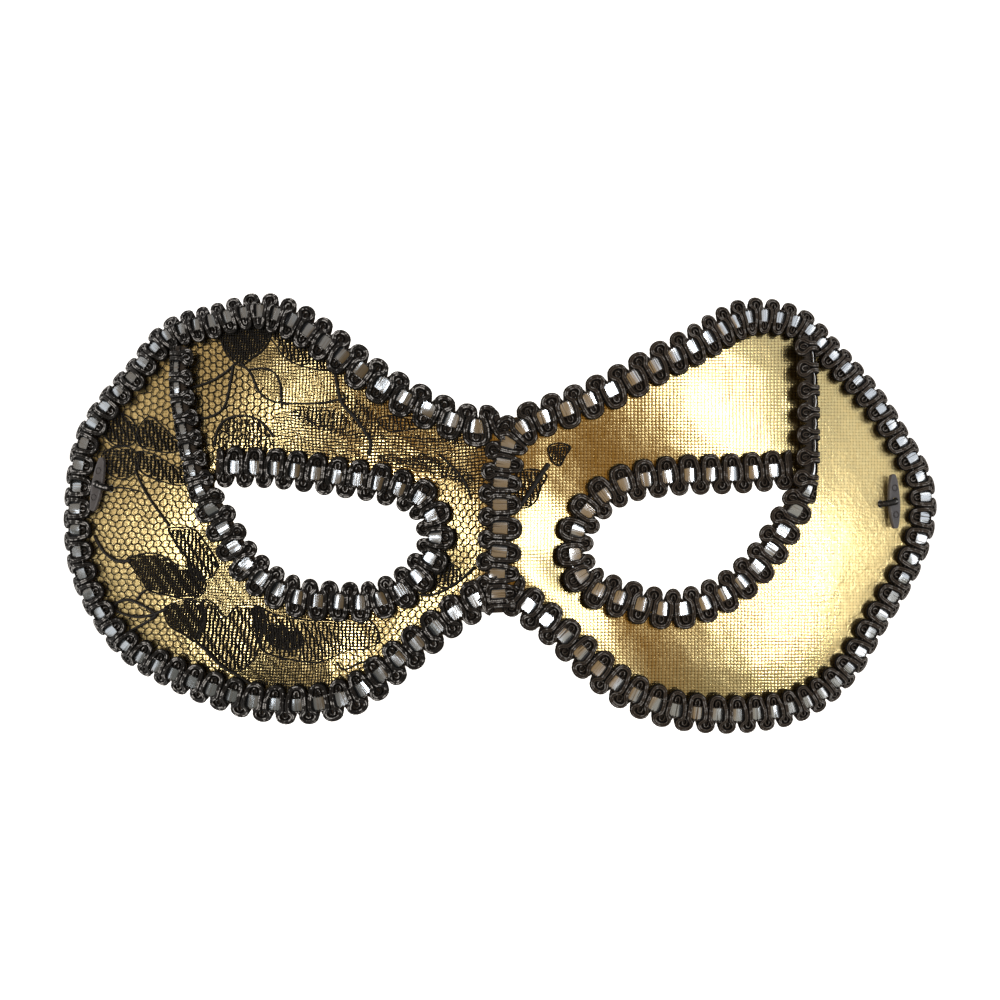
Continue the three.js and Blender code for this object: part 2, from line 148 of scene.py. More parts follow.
# The lace's flowers and leaves, seen from the front: how closely they are filled, and their outline
LACE_SHAPES = {
    "brow_leaf": ("close", [
        (-56.7, 36.9), (-56.1, 35.7), (-54.7, 32.1), (-53.5, 30.5), (-51.7, 29.3), (-49.5, 30.7),
        (-46.9, 32.7), (-45.7, 35.5), (-47.5, 38.1), (-52.3, 38.9)]),
    "brow_patch": ("open", [
        (-46.3, 36.1), (-44.5, 33.3), (-42.9, 31.1), (-40.7, 29.7), (-35.9, 28.5), (-32.7, 28.5),
        (-29.5, 26.9), (-28.7, 28.9), (-33.9, 33.5), (-39.9, 36.5), (-43.9, 38.1)]),
    "bow_high": ("open", [
        (-79.4, 18.6), (-77, 20), (-74, 19), (-72.3, 16), (-73.4, 13.6), (-76.4, 13.2), (-79, 15.2)]),
    "bow_right": ("open", [
        (-72.5, 15.8), (-70, 19.2), (-67.8, 17.6), (-65, 15), (-62.8, 13.6), (-65, 12), (-68.5, 12.2),
        (-71.7, 13.2)]),
    "bow_low": ("open", [
        (-79.6, 11.4), (-76.6, 13.1), (-73.8, 12.9), (-72.3, 11.2), (-72.8, 8.2), (-75.6, 6.6),
        (-78.6, 8.2)]),
    "bow_tail": ("open", [
        (-72.5, 12), (-69.5, 11.8), (-66, 9.8), (-60.9, 7), (-63.4, 5.4), (-67.6, 6.2), (-71, 7.6),
        (-72.7, 9.6)]),
    "mound": ("fine", [
        (-57.1, 12.9), (-56.5, 15.5), (-55.3, 17.5), (-53.7, 18.7), (-50.9, 19.1), (-48.5, 18.5),
        (-46.9, 17.3), (-45.5, 15.7), (-44.5, 12.9)]),
    "cheek_leaf": ("close", [
        (-74.5, -9.3), (-72.7, -8.5), (-70.5, -8.1), (-68.3, -8.3), (-66.3, -9.3), (-64.3, -10.5),
        (-61.9, -10.9), (-59.9, -11.9), (-58.7, -14.7), (-60.1, -16.9), (-62.7, -17.3), (-66.7, -16.5),
        (-70.3, -15.5), (-71.1, -14.1), (-73.5, -10.7)]),
    "cheek_petal": ("open", [
        (-66.1, -3.3), (-63.5, -2.9), (-61.1, -3.3), (-58.9, -5.9), (-57.1, -8.7), (-56.3, -10.7),
        (-57.5, -12.9), (-59.9, -13.5), (-61.9, -11.5), (-62.5, -9.1), (-64.1, -7.1), (-65.3, -5.1)]),
    "cheek_bud": ("close", [
        (-66.9, -19.1), (-65.1, -18.1), (-62.5, -17.5), (-59.9, -17.9), (-58.7, -19.7), (-58.9, -21.9),
        (-59.7, -24.1), (-60.9, -25.7), (-63.1, -24.3), (-65.1, -23.3), (-66.5, -21.7)]),
    "flower_left": ("open", [
        (-59.3, -17.5), (-57.1, -18.1), (-54.7, -20.9), (-52.3, -18.7), (-48.7, -18.7), (-46.7, -20.3),
        (-47.5, -25.5), (-49.5, -29.9), (-52.7, -31.9), (-55.5, -30.3), (-58.7, -27.1), (-60.7, -25.5),
        (-59.3, -22.3)]),
    "flower_right": ("open", [
        (-48.7, -18.7), (-44.9, -20.3), (-39.9, -21.3), (-33.9, -21.5), (-28.7, -21.3), (-25.5, -21.7),
        (-23.9, -25.5), (-26.3, -27.1), (-29.9, -27.5), (-32.7, -28.7), (-36.3, -29.9), (-40.7, -29.5),
        (-44.7, -28.7), (-47.5, -27.1)]),
    "flower_heart": ("close", [
        (-46.5, -22.5), (-42.5, -22.9), (-39.5, -24.1), (-39.7, -26.9), (-43.3, -27.3), (-46.1, -25.7)]),
    "nose_leaf_high": ("open", [
        (-24.3, 18.5), (-22.3, 19.3), (-19.5, 19.3), (-15.9, 19.1), (-13.5, 18.3), (-15.9, 16.9),
        (-19.1, 16.3), (-22.3, 16.3)]),
    "nose_leaf_low": ("fine", [
        (-25.5, 10.9), (-22.3, 11.9), (-19.5, 11.1), (-15.9, 11.7), (-12.7, 11.3), (-10.3, 9.7),
        (-6.3, 8.5), (-4.3, 6.1), (-7.5, 5.7), (-11.1, 6.7), (-14.5, 7.7), (-18.3, 9.1), (-21.9, 9.7)]),
    "brow_veil": ("gauze", [
        (-46.8, 33.6), (-39.2, 31.1), (-32.8, 29.9), (-26.3, 27), (-20.4, 23.5), (-11.6, 20.3),
        (-4, 19.2), (-3.4, 13.6), (-11.6, 13.6), (-20.4, 14.8), (-29.2, 14.8), (-36.3, 17.2),
        (-43.3, 20.7), (-46.8, 24.2), (-50.4, 28.9)]),
    "nose_veil": ("level", [
        (-43.3, 20.7), (-36.3, 18.2), (-29.2, 16.4), (-20.4, 15.8), (-11.6, 15), (-3.4, 14.6),
        (-3.4, 3.3), (-6.9, 3.7), (-12.2, 7.8), (-18.7, 8), (-24, 9.1), (-30.4, 9.9), (-35.1, 11.1),
        (-44.5, 12.6), (-45.7, 17.2)]),
    "cheek_veil": ("veil", [
        (-64.4, -3.4), (-60.3, -3), (-56.4, -6.5), (-51.7, -11.8), (-45.8, -16), (-41, -19),
        (-32.8, -20.1), (-26.5, -20.8), (-24.5, -23), (-26.5, -25.8), (-31.6, -27.2), (-33.4, -29.5),
        (-33, -37), (-41, -37), (-50.4, -33.1), (-55, -30.2), (-60.3, -23.9), (-62.1, -18),
        (-60.3, -12.2), (-63.3, -7.5)]),
    "nose_fine": ("fine", [
        (-31.9, 24.1), (-28.3, 22.9), (-25.1, 20.5), (-23.5, 17.7), (-25.5, 14.5), (-28.7, 16.9),
        (-30.9, 20.1)]),
    "brow_fine": ("fine", [
        (-40.7, 20.9), (-36.3, 21.7), (-32.3, 20.5), (-29.5, 17.7), (-31.9, 15.3), (-36.3, 16.5),
        (-39.9, 18.1)]),
    "nose_patch": ("open", [
        (-12.7, -11.9), (-10.7, -10.3), (-8.3, -10.7), (-7.5, -13.1), (-9.9, -15.1), (-12.3, -14.3)]),
    "over_seam_leaf": ("close", [
        (9.7, 13.1), (11.5, 13.9), (14.1, 13.1), (13.1, 11.3), (11.9, 9.3), (10.3, 10.3)]),
    "over_seam_bit": ("open", [
        (2.9, 7.3), (4.9, 8.5), (7.7, 8.5), (9.3, 7.3), (8.1, 4.9), (7.3, 2.5), (5.3, 0.9), (2.5, 1.3)]),
}
# The lace's thick threads: their radius, and the points that they pass
LACE_STEMS = {
    "brow_stem_left": (0.2, [(-61.9, 24.7), (-57.3, 26.3), (-54.7, 27.9), (-52.7, 29.7)]),
    "brow_stem_down": (0.19, [
        (-53.1, 29.3), (-53.7, 25.7), (-54.5, 22.1), (-55.5, 20.3), (-58.5, 18.9), (-61.5, 19.3)]),
    "brow_stem_right": (0.17, [
        (-51.5, 29.7), (-49.7, 27.9), (-48.9, 26.3), (-48.1, 24.5), (-46.7, 22.9), (-43.9, 21.9),
        (-39.9, 21.7), (-35.1, 21.9), (-30.3, 22.9)]),
    "brow_ring": (0.16, [
        (-49.9, 28.5), (-46.9, 28.7), (-44.9, 27.9), (-43.7, 25.7), (-43.5, 22.7), (-43.3, 20.7)]),
    "mound_edge": (0.2, [
        (-56.9, 13.3), (-56.3, 16.3), (-55.3, 17.9), (-53.7, 18.9), (-50.9, 19.3), (-48.5, 18.7),
        (-46.9, 17.5), (-44.9, 15.1)]),
    "seam_stem": (0.26, [
        (-32.7, 28.1), (-32.3, 25.3), (-31.3, 21.7), (-29.1, 19.3), (-26.9, 16.3), (-25.7, 13.9),
        (-26.1, 11.5)]),
    "bow_stem": (0.2, [(-72.9, 8.5), (-70.9, 4.3), (-68.3, 0.5), (-65.9, -2.7)]),
    "bow_thread": (0.14, [(-79.1, 4.7), (-75.5, 4.9), (-72.3, 4.3)]),
    "cheek_stem": (0.26, [(-81.1, -4.7), (-79.3, -7.7), (-77.3, -9.3), (-75.3, -9.7), (-73.7, -9.5)]),
    "arc_over": (0.24, [
        (-77.5, -18.9), (-75.9, -17.7), (-73.9, -17.5), (-71.9, -18.3), (-69.7, -19.5), (-68.5, -20.5)]),
    "arc_under": (0.22, [(-77.5, -19.1), (-75.3, -20.3), (-72.1, -20.9), (-68.9, -20.3), (-66.3, -19.1)]),
    "arc_low": (0.24, [(-68.5, -20.5), (-70.5, -21.9), (-72.3, -22.9), (-74.1, -23.9), (-75.9, -25.5)]),
    "arc_link": (0.18, [(-72.5, -17.5), (-71.7, -16.3), (-70.7, -15.5)]),
    "ring_low": (0.16, [(-32.5, -29.7), (-31.1, -31.3), (-28.5, -30.3), (-25.5, -29.5), (-24.1, -30.7)]),
    "nose_curve": (0.2, [
        (-16.3, -16.3), (-13.9, -16.5), (-11.7, -15.9), (-9.5, -14.7), (-7.1, -13.1), (-4.7, -10.7)]),
    "nose_curve_high": (0.16, [(-11.9, 11.5), (-8.7, 8.5), (-6.5, 5.5), (-5.5, 2.5)]),
    "seam_arm": (0.4, [(9.7, 9.7), (7.7, 6.9), (5.7, 3.7), (3.7, 0.9)]),
    "flower_edge": (0.2, [
        (-60.7, -25.7), (-58.7, -27.5), (-55.5, -30.7), (-51.9, -32.7), (-47.5, -35.5), (-43.5, -36.3)]),
}
# Of each filling: gap and radius of its upright threads, then of its level threads, in millimetres
LACE_FILLS = {
    "close": (0.5, 0.165, 0.5, 0.115),
    "open": (0.76, 0.2, 0.64, 0.12),
    "fine": (0.8, 0.12, 0.7, 0.09),
    "veil": (0.54, 0.1, 0.6, 0.085),
    "gauze": (0.6, 0.075, 0.62, 0.065),
    "level": (0.8, 0.075, 0.62, 0.15),
}
MOTIF_FILLS = ("close", "open")
VEIL_FILLS = ("veil", "gauze", "level")
LACE_MIDDLE = 0.63
LACE_EDGE = 0.18
LACE_AREA = ((-43, 0), (45, 45))
# The net: its middle, its cells on each side of it, and the degrees it is turned above and below a height
NET_MIDDLE = -40
NET_CELLS = 75
LACE_SPLIT = 9
LACE_TURNS = (28, -4)
# How far over the lace's middle its upright threads, level threads, edges and stems lie
LIFTS = {"upright": 0.03, "level": -0.03, "edge": 0.05, "stem": 0.06}
STEM_SWELL = 1.25

# Toggles, left before right: middle, lean from upright in degrees, hole in the shell
TOGGLES = {"left": ((-80.5, 5.6), -9.5, (-78.2, 4.8)), "right": ((79, 2.2), 2, (76.7, 1.7))}
TOGGLE_LENGTH = 11
TOGGLE_WIDTH = 2.8
TOGGLE_END = 0.9
TOGGLE_THICKNESS = 1
TOGGLE_HOLE = 0.8
TOGGLE_DIMPLE = (0.6, 2.7)
TOGGLE_GROOVE = (0.16, 0.2)
ELASTIC_DIAMETER = 1.2
SHELL_HOLE = 1.7
HOLE_DEPTH = 6.0
ELASTIC_EXIT = (-1.7, -3.2)
# The elastic behind the mask lies loose on the table, its middle at 0.7, and rises to a hole at both ends
ELASTIC_ROUTE = [
    (-73.5, 8.5, 3.4), (-71.5, 14, 1.4), (-68, 20, 0.8), (-63, 23.5, 0.7), (-59, 20, 0.7), (-60, 11, 0.7),
    (-63.5, 1, 0.7), (-64, -9, 0.7), (-60, -19, 0.7), (-52, -26, 0.7), (-41, -29, 0.7), (-29, -26, 0.7),
    (-18, -19, 0.7), (-8, -9, 0.7), (0, 1, 0.7), (9, 11.5, 0.7), (21, 18, 0.7), (35, 22, 0.7),
    (48, 26, 0.7), (58, 27.5, 0.7), (66, 23, 0.8), (70, 15.5, 1.4), (72, 8.5, 3.4),
]


# Lines and the face

def smooth(low, high, v):
    """0 at low, 1 at high, and 3t^2 - 2t^3 between them."""
    t = np.clip((v - low) / (high - low), 0, 1)
    return t * t * (3 - 2 * t)


def unit(v):
    """The vectors, each divided by its length."""
    return v / np.linalg.norm(v, axis=-1, keepdims=True)


def face_height(x, y):
    """Height of the shell's front: crown - depth * (|x| / reach)^power + nose ridge - eye hollow - lean^4."""
    depth, height = TEMPLE_ROUND
    reach = TEMPLE_REACH - depth * y * y / (y * y + height**2)
    arch = ARCH_DEPTH * (np.abs(x) / reach) ** ARCH_POWER
    ridge = NOSE_RIDGE[0] + (NOSE_RIDGE[1] - NOSE_RIDGE[0]) * smooth(*NOSE_RUN, y)
    nose = ridge * np.exp(-((x / NOSE_HALF_WIDTH) ** 2))
    out = (np.abs(x) - SOCKET_CENTRE[0]) / SOCKET_HALF[0]
    up = (y - SOCKET_CENTRE[1]) / SOCKET_HALF[1]
    socket = SOCKET_DEPTH * np.exp(-out * out - up * up)
    lean = np.where(y > 0, BROW_LEAN, CHEEK_LEAN) * (np.abs(y) / LEAN_HEIGHT) ** 4
    return CROWN_HEIGHT - arch + nose - socket - lean


def face_normal(x, y):
    """Outward unit normal of the shell's front, from central differences of its height."""
    d = 0.05
    dx = (face_height(x + d, y) - face_height(x - d, y)) / (2 * d)
    dy = (face_height(x, y + d) - face_height(x, y - d)) / (2 * d)
    return unit(np.stack([-dx, -dy, np.ones_like(dx)], -1))


def on_face(x, y, height):
    """The point at a height above the shell's front, measured along its normal."""
    x, y, height = np.broadcast_arrays(np.asarray(x, float), np.asarray(y, float), np.asarray(height, float))
    return np.stack([x, y, face_height(x, y)], -1) + height[..., None] * face_normal(x, y)


def foot_under(x, y, height):
    """The foot on the shell of what shows at (x, y) when it stands at that height."""
    n = face_normal(x, y)
    return x - height * n[..., 0], y - height * n[..., 1]


def curve_through(points, closed=False, fine=40):
    """A close run of points on the centripetal Catmull-Rom line through the points: a cubic between each two,
    whose end slopes weigh its neighbours by the square root of their distance."""
    p = np.asarray(points, float)
    p = np.vstack([p[-1], p, p[:2]]) if closed else np.vstack([2 * p[0] - p[1], p, 2 * p[-1] - p[-2]])
    a, b, c, d = p[:-3], p[1:-2], p[2:-1], p[3:]
    k0, k1, k2 = (np.sqrt(np.linalg.norm(r - q, axis=1))[:, None] for q, r in ((a, b), (b, c), (c, d)))
    start = (k1 * ((b - a) / k0 - (c - a) / (k0 + k1)) + c - b)[:, None]
    end = (k1 * ((d - c) / k2 - (d - b) / (k1 + k2)) + c - b)[:, None]
    t = (np.arange(fine) / fine)[None, :, None]
    line = (2 * t**3 - 3 * t**2 + 1) * b[:, None] + (3 * t**2 - 2 * t**3) * c[:, None]
    line = line + (t**3 - 2 * t**2 + t) * start + (t**3 - t**2) * end
    line = line.reshape(-1, p.shape[1])
    return np.vstack([line, line[:1] if closed else p[-2:-1]])


def running_length(line):
    """Length of a line up to each of its points."""
    return np.concatenate([[0], np.cumsum(np.linalg.norm(np.diff(line, axis=0), axis=1))])


def sample(at, places, values):
    """The values, given at rising places, read at other places: each column on its own."""
    at = np.asarray(at, float)
    values = np.asarray(values, float)
    columns = [np.interp(at, places, values[:, i]) for i in range(values.shape[1])]
    return np.stack(columns, -1)


def spaced(line, count):
    """That many points at even lengths along a line."""
    length = running_length(line)
    return sample(np.linspace(0, length[-1], count), length, line)


def side_line(points, count, by):
    """The closed line beside a braid's middle line, to the right of its run if by is above 0, as its foot on
    the shell."""
    line = spaced(curve_through(points, closed=True), count + 1)
    ahead = unit(np.roll(line[:-1], -1, 0) - np.roll(line[:-1], 1, 0))
    line = line[:-1]
    x, y = line[:, 0] + ahead[:, 1] * by, line[:, 1] - ahead[:, 0] * by
    return np.stack(foot_under(x, y, BRAID_TOP), -1)


def inside(points, outline):
    """Whether each point lies in a closed outline: a line to the right of it crosses the outline an odd
    number of times."""
    x, y = points[..., 0, None], points[..., 1, None]
    a, b = outline, np.roll(outline, -1, 0)
    crosses = (a[:, 1] > y) != (b[:, 1] > y)
    rise = np.where(b[:, 1] == a[:, 1], 1e-9, b[:, 1] - a[:, 1])
    at = a[:, 0] + (y - a[:, 1]) / rise * (b[:, 0] - a[:, 0])
    return (crosses & (x < at)).sum(-1) % 2 == 1


SHELL_OUTLINE = side_line(LEFT_EDGE[:-1][::-1] + RIGHT_EDGE, 420, EDGE_OVERHANG)
LEFT_OPENING = side_line(LEFT_EYE + LEFT_DROP[-1:], 140, -EYE_INSET)
RIGHT_OPENING = side_line(RIGHT_EYE + RIGHT_DROP[-1:], 140, EYE_INSET)


# Meshes

def grid_quads(index):
    """The four corners of every cell of grids of point numbers, as (grids, rows, columns)."""
    parts = [index[:, :-1, :-1], index[:, 1:, :-1], index[:, 1:, 1:], index[:, :-1, 1:]]
    return np.stack(parts, -1).reshape(-1, 4)


class Skin:
    """Grids of points gathered into one mesh, with a place on the surface for every corner of a quad."""

    def __init__(self):
        self.points, self.quads, self.places, self.tris = [], [], [], []
        self.count = 0

    def add(self, points, quads, places, tris=None):
        tris = np.zeros((0, 3), int) if tris is None else tris
        self.points.append(points)
        self.quads.append(quads + self.count)
        self.places.append(places)
        self.tris.append(tris + self.count)
        self.count += len(points)

    def tubes(self, rings, uv, looped=False):
        """Closed tubes from rings of points, as (tubes, rings, points, 3). uv has one more point a ring,
        and one more ring if the tube is looped. Ends that aren't looped are closed by fans."""
        n, rows, sides = rings.shape[:3]
        index = np.arange(n * rows * sides).reshape(n, rows, sides)
        index = np.concatenate([index, index[:, :, :1]], 2)
        if looped:
            index = np.concatenate([index, index[:, :1]], 1)
        outward = self.faces_outward(rings[0])
        order = [0, 1, 2, 3] if outward else [3, 2, 1, 0]
        flat = np.arange(uv[..., 0].size).reshape(uv.shape[:3])
        places = uv.reshape(-1, 2)[grid_quads(flat)[:, order]]
        fans = None if looped else self.end_fans(index, outward)
        self.add(rings.reshape(-1, 3), grid_quads(index)[:, order], places, fans)

    def cord(self, path, up, radius, sides, length=None):
        """One round tube along a path, with its own length as its places unless another one is given."""
        length = running_length(path) if length is None else length
        self.tubes(round_rings(path[None], up[None], radius, sides), tube_uv(length[None], sides))

    @staticmethod
    def end_fans(index, outward):
        """Triangles that close both ends of tubes, each end from its first point."""
        fans = []
        for row, turned in ((0, not outward), (-1, outward)):
            second, third = index[:, row, 1:-2], index[:, row, 2:-1]
            first = np.broadcast_to(index[:, row, :1], second.shape)
            fan = np.stack([first, second, third], -1).reshape(-1, 3)
            fans.append(fan[:, ::-1] if turned else fan)
        return np.vstack(fans)

    @staticmethod
    def faces_outward(rings):
        """Whether the first ring's first face points away from the tube's middle."""
        a, b, c = rings[0, 0], rings[1, 0], rings[0, 1]
        return np.dot(np.cross(b - a, c - a), a - rings[0].mean(0)) > 0


def make_piece(name, skin):
    """A mesh object at the origin, from the grids that a Skin holds. End fans lie at one place of the
    surface."""
    points = np.vstack(skin.points) * MM
    quads, tris = np.vstack(skin.quads), np.vstack(skin.tris)
    uv = np.concatenate([np.vstack(skin.places).reshape(-1, 2), np.zeros((tris.size, 2))])
    mesh = bpy.data.meshes.new(name)
    mesh.vertices.add(len(points))
    mesh.vertices.foreach_set("co", points.astype(np.float32).ravel())
    corners = np.concatenate([quads.ravel(), tris.ravel()]).astype(np.int32)
    starts = np.concatenate([4 * np.arange(len(quads)), 4 * len(quads) + 3 * np.arange(len(tris))])
    mesh.loops.add(len(corners))
    mesh.loops.foreach_set("vertex_index", corners)
    mesh.polygons.add(len(starts))
    mesh.polygons.foreach_set("loop_start", starts.astype(np.int32))
    mesh.update(calc_edges=True)
    layer = mesh.uv_layers.new(name="UVMap")
    layer.data.foreach_set("uv", uv.astype(np.float32).ravel())
    mesh.polygons.foreach_set("use_smooth", np.ones(len(starts), bool))
    if mesh.validate():
        raise RuntimeError(name + ": the mesh has faults")
    piece = bpy.data.objects.new(name, mesh)
    bpy.context.scene.collection.objects.link(piece)
    return piece


def round_rings(path, up, radius, sides, looped=False):
    """Rings of points round paths, as (tubes, rings, sides, 3): centre + r * (cos a * across + sin a * up),
    where up is made square to the path."""
    step = np.roll(path, -1, -2) - np.roll(path, 1, -2) if looped else np.gradient(path, axis=-2)
    ahead = unit(step)
    up = unit(up - (up * ahead).sum(-1, keepdims=True) * ahead)
    across = np.cross(ahead, up)
    angle = 2 * np.pi * np.arange(sides) / sides
    turn = np.cos(angle)[:, None] * across[..., None, :] + np.sin(angle)[:, None] * up[..., None, :]
    return path[..., None, :] + np.asarray(radius)[..., None, None] * turn


def tube_uv(length, sides):
    """Places on tubes: the length along each, in millimetres, and the turn round it from 0 to 1."""
    round_it = np.arange(sides + 1) / sides
    u, v = np.broadcast_arrays(length[..., None], round_it)
    return np.stack([u, v], -1)


def finish_piece(piece, finish, node):
    """Gives a piece its material, hides the imported solid that it stands for and attaches it to the body it
    rides on."""
    piece.data.materials.clear()
    piece.data.materials.append(finish)
    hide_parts(node)
    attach(piece, "root")
    return piece


def cut_away(piece, cutter_skin, sharp):
    """Takes the cutter's shape out of a piece. Edges past the angle, in degrees, are shaded sharp."""
    cutter = make_piece("cutter", cutter_skin)
    cut = piece.modifiers.new("holes", "BOOLEAN")
    cut.operation = "DIFFERENCE"
    cut.solver = "EXACT"
    cut.object = cutter
    bpy.context.view_layer.update()
    done = bpy.data.meshes.new_from_object(piece.evaluated_get(bpy.context.evaluated_depsgraph_get()))
    whole = piece.data
    piece.modifiers.clear()
    piece.data = done
    bpy.data.meshes.remove(whole)
    bpy.data.objects.remove(cutter)
    done.name = piece.name
    done.set_sharp_from_angle(angle=math.radians(sharp))
    return piece


# Materials

# Where finishes change across the face, in metres: towards the temples, then from the lace's half to the
#  plain one for the cords and for the foil. The cords and foil are painted lighter on the plain half,
#  standing in for its brighter light.
TEMPLE_RUN = (0.058, 0.074)
PLAIN_RUN = (-0.02, 0.03)
FOIL_RUN = (-0.02, 0.01)
# The low fold on each side of the nose, in millimetres: its middle at eye height, half width, height, and the
# run over which it ends. Its slope is in millimetres to a metre, and it begins over a run of metres below.
FOLD_MIDDLE = 2.0
FOLD_SLOPE = 550
FOLD_HALF = 6.5
FOLD_HEIGHT = 1.1
FOLD_ENDS = (26, 36)
FOLD_BEGINS = (-0.006, -0.016)
# Millimetres of a rib of the ribbon, and of a turn of the threads in a cord and in the elastic
RIB = 0.3
CORD_TWIST = 0.34
ELASTIC_TWIST = 0.5


class Amount:
    """A number that a node gives. Python's operators on it add Math nodes."""

    def __init__(self, finish, socket):
        self.finish = finish
        self.socket = socket

    def math(self, operation, *others):
        return self.finish.node("ShaderNodeMath", {"operation": operation}, dict(enumerate((self, *others))))

    def __add__(self, other):
        return self.math("ADD", other)

    def __sub__(self, other):
        return self.math("SUBTRACT", other)

    def __mul__(self, other):
        return self.math("MULTIPLY", other)

    def __truediv__(self, other):
        return self.math("DIVIDE", other)

    def __pow__(self, other):
        return self.math("POWER", other)

    def __neg__(self):
        return self.math("MULTIPLY", -1.0)

    def __rsub__(self, other):
        return (-self).math("ADD", other)

    __radd__ = __add__
    __rmul__ = __mul__

    def sine(self):
        return self.math("SINE")

    def size(self):
        return self.math("ABSOLUTE")

    def floor(self):
        return self.math("FLOOR")

    def fraction(self):
        return self.math("FRACT")

    def step(self, low, high, kind="SMOOTHSTEP"):
        """0 below low, 1 above high, smooth or LINEAR between."""
        inputs = {"Value": self, "From Min": low, "From Max": high}
        return self.finish.node("ShaderNodeMapRange", {"interpolation_type": kind}, inputs)


class Finish:
    """One material, or the room's world, and the nodes that make it."""

    def __init__(self, name, owners=None):
        self.owner = (bpy.data.materials if owners is None else owners).new(name)
        self.owner.use_nodes = True
        self.tree = self.owner.node_tree
        self.tree.nodes.clear()

    def node(self, kind, settings=None, inputs=None, output=0):
        """Adds a node: its settings first, then the values or links of its sockets. Gives one output."""
        node = self.tree.nodes.new(kind)
        for key, value in (settings or {}).items():
            setattr(node, key, value)
        for key, value in (inputs or {}).items():
            if isinstance(value, Amount):
                self.tree.links.new(value.socket, node.inputs[key])
            else:
                node.inputs[key].default_value = value
        return Amount(self, node.outputs[output]) if len(node.outputs) else None

    def place(self, which="Object"):
        return self.node("ShaderNodeTexCoord", output=which)

    def parts(self, vector):
        """The three numbers of a vector."""
        split = self.node("ShaderNodeSeparateXYZ", None, {"Vector": vector})
        return [Amount(self, socket) for socket in split.socket.node.outputs]

    def noise(self, size, detail=2.0, rough=0.5):
        """Soft noise whose patches are about size millimetres wide, around 0.5."""
        inputs = {"Vector": self.place(), "Scale": 1000 / size, "Detail": detail, "Roughness": rough}
        return self.node("ShaderNodeTexNoise", None, inputs, "Fac")

    def mix(self, share, a, b):
        """Colour a where the share is 0 and colour b where it is 1."""
        keys = {0: share, 6: a, 7: b}
        return self.node("ShaderNodeMix", {"data_type": "RGBA"}, keys, 2)

    def bump(self, height, distance, strength=1.0, under=None):
        """A normal raised by height times distance, in millimetres."""
        inputs = {"Height": height, "Distance": distance * MM, "Strength": strength}
        if under is not None:
            inputs["Normal"] = under
        return self.node("ShaderNodeBump", None, inputs, "Normal")

    def surface(self, **inputs):
        """The shader itself. Underscores in the names stand for spaces."""
        named = {key.replace("_", " "): value for key, value in inputs.items()}
        shader = self.node("ShaderNodeBsdfPrincipled", None, named)
        self.node("ShaderNodeOutputMaterial", None, {"Surface": shader})
        return self.owner


def grey(value):
    return (value, value, value, 1)


def rgba(colour):
    return (*colour, 1)


def shell_finish():
    """Moulded off-white plastic: a faint flow pattern, fine grain and slight unevenness."""
    f = Finish("moulded_plastic")
    flow = f.noise(14, 3)
    grain = f.noise(0.5, 2)
    colour = f.mix(flow.step(0.3, 0.7), rgba((0.74, 0.70, 0.62)), rgba((0.82, 0.79, 0.72)))
    normal = f.bump(grain, 0.03, 0.5, f.bump(flow, 0.5, 0.4))
    return f.surface(Base_Color=colour, Roughness=flow * 0.2 + 0.4, Normal=normal)


def gold_finish(gold):
    """Plain-woven metallic cloth. In lengths u and v along the surface each crossing is a pillow, |sin(pi
    u/p)|^a * |sin(pi v/q)|^b, whose longer side alternates, with darker gaps between the threads. Each
    crossing has its own shade. The cloth has soft creases, fine wrinkles towards the temples, and on each
    side of the nose a low fold, exp(-((|x| + 0.55 y - 2) / 6.5)^2) in millimetres."""
    f = Finish("gold_metallic_cloth")
    waver = f.noise(7, 2) * 0.6
    u, v, _ = f.parts(f.place("UV"))
    u = u / gold.thread_across + waver
    v = v / gold.thread_up + waver
    a = (u * math.pi).sine().size()
    b = (v * math.pi).sine().size()
    cell = f.node("ShaderNodeCombineXYZ", None, {"X": u.floor(), "Y": v.floor()})
    odd = ((u.floor() + v.floor()) * 0.5).fraction() * 2
    own = f.node("ShaderNodeTexWhiteNoise", {"noise_dimensions": "3D"}, {"Vector": cell}, "Value")
    warp = a**0.6 * b**0.9
    weft = a**0.9 * b**0.6
    pillow = warp + (weft - warp) * odd
    x, y, _ = f.parts(f.place())
    temple = x.size().step(*TEMPLE_RUN)
    colour = f.mix(own * 0.6 + temple * 0.3, rgba(gold.thread_light), rgba(gold.thread_dark))
    colour = f.mix(pillow.step(0.0, 0.45) + temple * 0.35, rgba(gold.gap), colour)
    wide = f.noise(11, 2)
    wrinkle = f.noise(0.9, 3, 0.6) * temple
    x = x.size() * 1000
    fold = (x + y * FOLD_SLOPE - FOLD_MIDDLE) / FOLD_HALF
    fold = (fold * fold * -1).math("EXPONENT") * y.step(*FOLD_BEGINS) * (1 - x.step(*FOLD_ENDS))
    normal = f.bump(wide, 1.0, gold.crease, f.bump(wrinkle, 0.2, 0.6))
    normal = f.bump(fold, FOLD_HEIGHT, 1.0, normal)
    normal = f.bump((pillow + own * 0.3) * (temple * -0.6 + 1), 0.02, 1.0, normal)
    rough = own * 0.06 + temple * 0.12 + gold.roughness
    return f.surface(Base_Color=colour, Metallic=1.0, Roughness=rough, Normal=normal)


